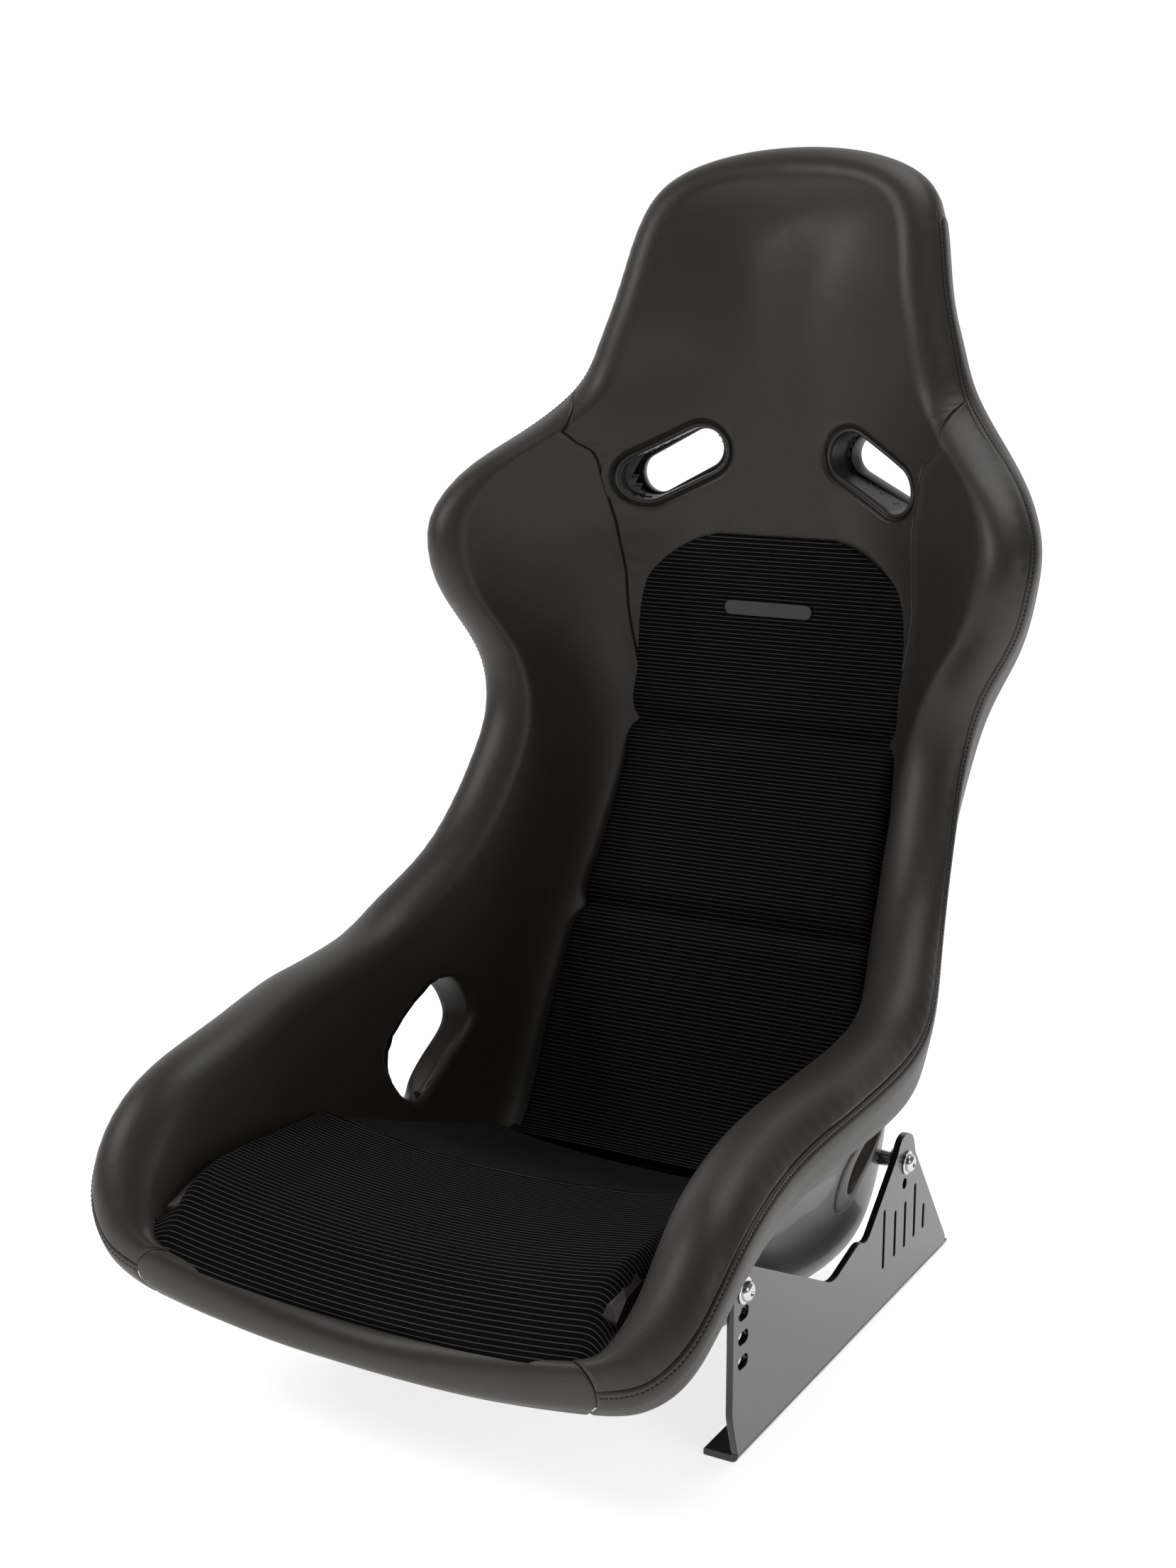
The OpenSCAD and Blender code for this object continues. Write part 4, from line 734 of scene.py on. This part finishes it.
# ------------------------------------------------------------------ shell
def build_shell():
    ts = np.unique(np.concatenate([np.linspace(0, 3, 40), np.linspace(3, 19, 260), np.linspace(19, 25, 90)])); S = Sect(ts)
    v = np.unique(np.concatenate([np.linspace(0, 2, 90), np.linspace(1.9, 2, 8)])); V = np.broadcast_to(v, (len(ts), len(v)))
    out, inn = S.shl(V, 0), S.shl(V, -4.0); n, m = out.shape[:2]
    F1 = grid_faces(n, m, 0, False); F2 = grid_faces(n, m, n*m, True); i = np.arange(n-1)
    a, b = i*m+m-1, (i+1)*m+m-1; E = np.stack([a, b, b+n*m, a+n*m], -1)
    Vv = np.vstack([out.reshape(-1, 3), inn.reshape(-1, 3)]); F = np.vstack([F1, F2, E[:, ::-1]])
    Vv[:, 2] += 22.0*smooth(-235, -312, Vv[:, 1])*smooth(120, 95, Vv[:, 2])
    hp = closed(HIP_OUT, 160); pts = Vv[:, 1:]; ins = (inside(pts, hp) | (dist_poly(pts, hp) < 8.0)) & (np.abs(Vv[:, 0]) > 120) & (pts[:, 1] < 260)
    lean = math.tan(math.radians(15)); sd = slot_dist(np.abs(Vv[:, 0])-(Vv[:, 1]-277)*lean, Vv[:, 2]); ins |= (sd < 22) & (Vv[:, 2] > 500)
    F = F[~ins[F].all(1)]; k = len(Vv)
    W = np.vstack([Vv, mirror_x(Vv)]); FF = np.vstack([F, F[:, ::-1]+k])
    ob = mesh_obj("shell_laminate", W, FF, SHELL, merge=0.02); return ob


build_shell()


def lathe(name, prof, centre, axis_sign, mat, body="root", n=48):
    """Turned piece about the X direction: prof is a list of (x out from the plate, radius)."""
    a = np.linspace(0, 2*math.pi, n, endpoint=False); P = []
    for x, r in prof: P.append(np.stack([np.full(n, x), centre[0]+r*np.cos(a), centre[1]+r*np.sin(a)], 1))
    P = np.stack(P); P[..., 0] *= axis_sign
    return mesh_obj(name, P.reshape(-1, 3), grid_faces(len(prof), n, 0, axis_sign > 0, True), mat, body)

# ------------------------------------------------------------------ side mounts
XO, PT = 209.2, 5.0
PLATE = [(-197,5),(195,5),(116.4,110.5),(111,126),(98,133),(85,131),(78,120),(21,72),(6,78),(-42,66),(-179,136),(-190,140),(-203,134),(-207,120),(-207,38)]


def round_poly(p, r):
    """Polygon with its corners rounded, r one radius per corner."""
    out = []; n = len(p)
    for i in range(n):
        a, b, c = (np.array(p[k % n], float) for k in (i-1, i, i+1)); u, v = a-b, c-b; lu, lv = np.linalg.norm(u), np.linalg.norm(v); u /= lu; v /= lv
        ang = math.acos(np.clip(u@v, -1, 1)); d = min(r[i]/math.tan(ang/2), lu*.49, lv*.49); rr = d*math.tan(ang/2); m = nrm(u+v); cen = b+m*rr/math.sin(ang/2)
        s, e = b+u*d, b+v*d; a0 = math.atan2(*(s-cen)[::-1]); a1 = math.atan2(*(e-cen)[::-1]); da = (a1-a0+math.pi) % (2*math.pi)-math.pi
        k = max(2, int(abs(da)/0.16)+1)
        for j in range(k+1): out.append(cen+rr*np.array([math.cos(a0+da*j/k), math.sin(a0+da*j/k)]))
    return np.array(out)


def stadium(y, z0, z1, r, n=10):
    a = np.linspace(0, math.pi, n); return np.array([(y+r*math.cos(t), z1-r+r*math.sin(t)) for t in a]+[(y-r*math.cos(t), z0+r-r*math.sin(t)) for t in a])


def disc(y, z, r, n=28):
    return np.array([(y+r*math.cos(t), z+r*math.sin(t)) for t in np.linspace(0, 2*math.pi, n, endpoint=False)])


def wide(y0, y1, z, r, n=10):
    a = np.linspace(-math.pi/2, math.pi/2, n); return np.array([(y1+r*math.cos(t), z+r*math.sin(t)) for t in a]+[(y0-r*math.cos(t), z-r*math.sin(t)) for t in a])


def plate_mesh(name, loops, x_out, thick, mat, sgn, bevel=0.45, plane="yz"):
    cu = bpy.data.curves.new(name, "CURVE"); cu.dimensions = "2D"; cu.fill_mode = "BOTH"; cu.extrude = (thick/2-bevel)*MM; cu.bevel_depth = bevel*MM; cu.bevel_resolution = 2; cu.offset = -bevel*MM
    for L in loops:
        sp = cu.splines.new("POLY"); sp.points.add(len(L)-1); sp.use_cyclic_u = True
        for q, p in zip(sp.points, L): q.co = (p[0]*MM, p[1]*MM, 0, 1)
    ob = bpy.data.objects.new(name, cu); bpy.context.scene.collection.objects.link(ob)
    if plane == "yz": M = Matrix(((0, 0, 1, sgn*(x_out-thick/2)*MM), (1, 0, 0, 0), (0, 1, 0, 0), (0, 0, 0, 1)))
    else: M = Matrix(((1, 0, 0, 0), (0, 1, 0, 0), (0, 0, 1, x_out*MM), (0, 0, 0, 1)))
    dg = bpy.context.evaluated_depsgraph_get(); me = bpy.data.meshes.new_from_object(ob.evaluated_get(dg)); bpy.data.objects.remove(ob)
    me.transform(M); me.materials.clear(); me.materials.append(mat); o2 = bpy.data.objects.new(name, me); bpy.context.scene.collection.objects.link(o2)
    for p in me.polygons: p.use_smooth = True
    me.set_sharp_from_angle(angle=math.radians(32)); return o2


def build_mounts():
    r = [2]*15; r[0] = 6; r[1] = 5; r[2] = 8; r[3] = 14; r[4] = 16; r[5] = 14; r[6] = 10; r[7] = 12; r[8] = 20; r[9] = 26; r[10] = 6; r[11] = 10; r[12] = 12; r[13] = 20; r[14] = 20
    outer = round_poly([(y, max(z, 4.6)) for y, z in PLATE], r)
    fy, fz, ry, rz = -191.6, 123.8, 97.6, 108.0
    holes = [disc(fy, fz, 4.3), disc(ry, rz, 4.3), disc(ry-2.8, rz-16.2, 4.2)]+[wide(fy-3, fy+3, z, 4.5) for z in (107.5, 90.1, 72.5)]
    holes += [stadium(y, a, b, 2.1) for y, a, b in ((55,37.4,85.1),(77.6,38.3,75.9),(98,37.8,75.7),(118,38.6,83.2),(137.6,38.2,59.2))]
    for sgn, side in ((1, "right"), (-1, "left")):
        pl = plate_mesh("mount_plate_"+side, [outer]+holes, XO, PT, PAINT, sgn)
        # bent foot, swept along the length
        prof = [(XO, 6.2)]; R = 5.6
        for a in np.radians(np.linspace(0, 90, 9)): prof.append((XO-R+R*math.cos(a), R-R*math.sin(a)))
        prof += [(XO-26+.6, 0), (XO-26, .6), (XO-26, 4.4), (XO-26+.6, 5)]
        for a in np.radians(np.linspace(90, 0, 5)): prof.append((XO-R+.6*math.cos(a), R-.6*math.sin(a)))
        prof.append((XO-PT, 6.2)); prof = np.array(prof)
        ys = [(-196.5, 1.2), (-195.9, .35), (-195.0, 0), (0, 0), (193.8, 0), (194.8, .35), (195.2, 1.2)]; c = prof.mean(0); P = []
        for yv, ins in ys:
            q = prof.copy(); q[:, 1] = np.where(q[:, 1] > 3, np.minimum(q[:, 1], 99), q[:, 1]); P.append(np.stack([sgn*q[:, 0], np.full(len(q), yv), q[:, 1]], 1))
        P = np.stack(P); n, m = P.shape[:2]; V = P.reshape(-1, 3); F = [list(f) for f in grid_faces(n, m, 0, sgn > 0, True)]
        F += [list(range(m))[::(-1 if sgn > 0 else 1)], list(range((n-1)*m, n*m))[::(1 if sgn > 0 else -1)]]
        ft = mesh_obj("mount_foot_"+side, V, F, PAINT); ft.data.set_sharp_from_angle(angle=math.radians(35))
        for yy in (-160, 160):
            lathe_z("floor_hole_"+side+("_f" if yy < 0 else "_r"), sgn*194, yy, sgn)
        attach(pl, "root"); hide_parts("side_mount_"+side)
        for nm, (cy, cz) in (("front", (fy, fz)), ("rear", (ry, rz))):
            lathe("washer_%s_%s" % (nm, side), [(XO, 4), (XO, 9), (XO+.3, 9.3), (XO+1.3, 9.3), (XO+1.6, 9), (XO+1.6, 4)], (cy, cz), sgn, STEEL)
            h = XO+1.6
            lathe("bolt_%s_%s" % (nm, side), [(h, 4), (h, 6.6), (h+.35, 7.0), (h+1.5, 7.0), (h+2.6, 6.5), (h+3.6, 5.6), (h+4.3, 4.5), (h+4.6, 3.4), (h+4.55, 2.9), (h+1.7, 2.7), (h+1.7, 0.01)], (cy, cz), sgn, STEEL)
            x0, x1 = 197.5, XO-PT; w = []
            for k in range(4):
                a = x0+(x1-x0)*k/4; b = x0+(x1-x0)*(k+1)/4; w += [(a+.12, 9.2), (a+.4, 9.9), (b-.4, 9.9), (b-.12, 9.2)]
            lathe("spacer_%s_%s" % (nm, side), [(x0, 4)]+w+[(x1, 4)], (cy, cz), sgn, STEEL)


def lathe_z(name, x, y, sgn):
    """Dark countersunk rim of a floor bolt hole."""
    n = 32; a = np.linspace(0, 2*math.pi, n, endpoint=False); prof = [(4.9, 5.02), (4.25, 4.7), (4.25, .3), (4.9, -.02)]
    P = np.stack([np.stack([x+r*np.cos(a), y+r*np.sin(a), np.full(n, z)], 1) for r, z in prof])
    return mesh_obj(name, P.reshape(-1, 3), grid_faces(4, n, 0, False, True), PAINT)


build_mounts()

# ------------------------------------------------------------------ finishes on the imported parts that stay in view
KEEP = {"foam_head": FOAM, "foam_side_left": FOAM, "foam_side_right": FOAM, "foam_front": FOAM, "seat_gusset_left": LEATHER, "seat_gusset_right": LEATHER,
        "back_label": LABEL, "back_grip_strips": GRIP, "seat_grip_strips": GRIP, "mount_bolts": STEEL, "mount_washers": STEEL, "mount_spacers": STEEL, "mount_inserts": STEEL}
for k, m in KEEP.items():
    o = NODE[k]; o.data.materials.clear(); o.data.materials.append(m)
def rep(vis, *nodes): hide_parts(*nodes)
rep("head_leather", "head_cover"); rep("side_leather_right", "side_cover_right"); rep("side_leather_left", "side_cover_left")
rep("front_roll", "front_roll_cover"); rep("rim_strip_right", "outer_strip_right"); rep("rim_strip_left", "outer_strip_left")
rep("hip_opening_right", "hip_liner_right"); rep("hip_opening_left", "hip_liner_left")
rep("belt_bezel_right", "belt_guide_right"); rep("belt_bezel_left", "belt_guide_left")
rep("belt_rear_ring_right", "belt_guide_ring_right"); rep("belt_rear_ring_left", "belt_guide_ring_left")
rep("back_pad_cloth", "back_cushion"); rep("seat_pad_cloth", "seat_cushion"); rep("shell_laminate", "shell")
rep("bolt_front_right", "mount_bolts"); rep("washer_front_right", "mount_washers"); rep("spacer_front_right", "mount_spacers")

# ------------------------------------------------------------------ studio
sc = bpy.context.scene
def area(name, loc, target, size, power, color=(1, 1, 1), size_y=None):
    L = bpy.data.lights.new(name, "AREA"); L.energy = power; L.color = color; L.shape = "RECTANGLE"; L.size = size; L.size_y = size_y or size
    o = bpy.data.objects.new(name, L); sc.collection.objects.link(o); o.location = loc
    o.rotation_euler = (Vector(target)-Vector(loc)).to_track_quat("-Z", "Y").to_euler(); return o

w = bpy.data.worlds.new("studio"); sc.world = w; w.use_nodes = True
bg = w.node_tree.nodes["Background"]; bg.inputs[0].default_value = (1, 1, 1, 1)
# a white wall behind the seat, a dim room everywhere else
wt = w.node_tree; wc = node(wt, "ShaderNodeTexCoord"); wd = node(wt, "ShaderNodeVectorMath", operation="DOT_PRODUCT"); wm = node(wt, "ShaderNodeMapRange")
wd.inputs[1].default_value = (-0.492, 0.870, 0.0); wt.links.new(wc.outputs["Generated"], wd.inputs[0]); wt.links.new(wd.outputs["Value"], wm.inputs["Value"])
wm.inputs["From Min"].default_value = 0.35; wm.inputs["From Max"].default_value = 0.76; wm.inputs["To Min"].default_value = 0.16; wm.inputs["To Max"].default_value = 1.02
wt.links.new(wm.outputs[0], bg.inputs[1])
floor_m, _, fb = principled("floor", (0.86, 0.86, 0.86), 0.9, 0.05)
fb.inputs["Emission Color"].default_value = (1, 1, 1, 1); fb.inputs["Emission Strength"].default_value = 0.78
fl = mesh_obj("floor", [(-9000, -9000, -0.3), (9000, -9000, -0.3), (9000, 9000, -0.3), (-9000, 9000, -0.3)], [(0, 1, 2, 3)], floor_m, body=None, smooth_it=False)
area("key", (-1.9, -1.5, 2.1), (0, 0, .5), 1.1, 26)
area("top", (0.3, 0.5, 2.7), (0, 0.1, .4), 1.6, 22)
area("right", (2.3, -0.9, 1.2), (0, 0, .4), 0.9, 7)

cam = bpy.data.cameras.new("cam"); cam.sensor_fit = "AUTO"; cam.sensor_width = 36; cam.lens = 3139.3/2212*36; cam.clip_end = 50
co = bpy.data.objects.new("cam", cam); sc.collection.objects.link(co); sc.camera = co
az, el = math.radians(29.5), math.radians(13.1)
co.location = (0.78406, -1.41621, 0.77929)
fwd = Vector((-math.sin(az)*math.cos(el), math.cos(az)*math.cos(el), -math.sin(el))); co.rotation_euler = fwd.to_track_quat("-Z", "Y").to_euler()
sc.view_settings.view_transform = "Standard"
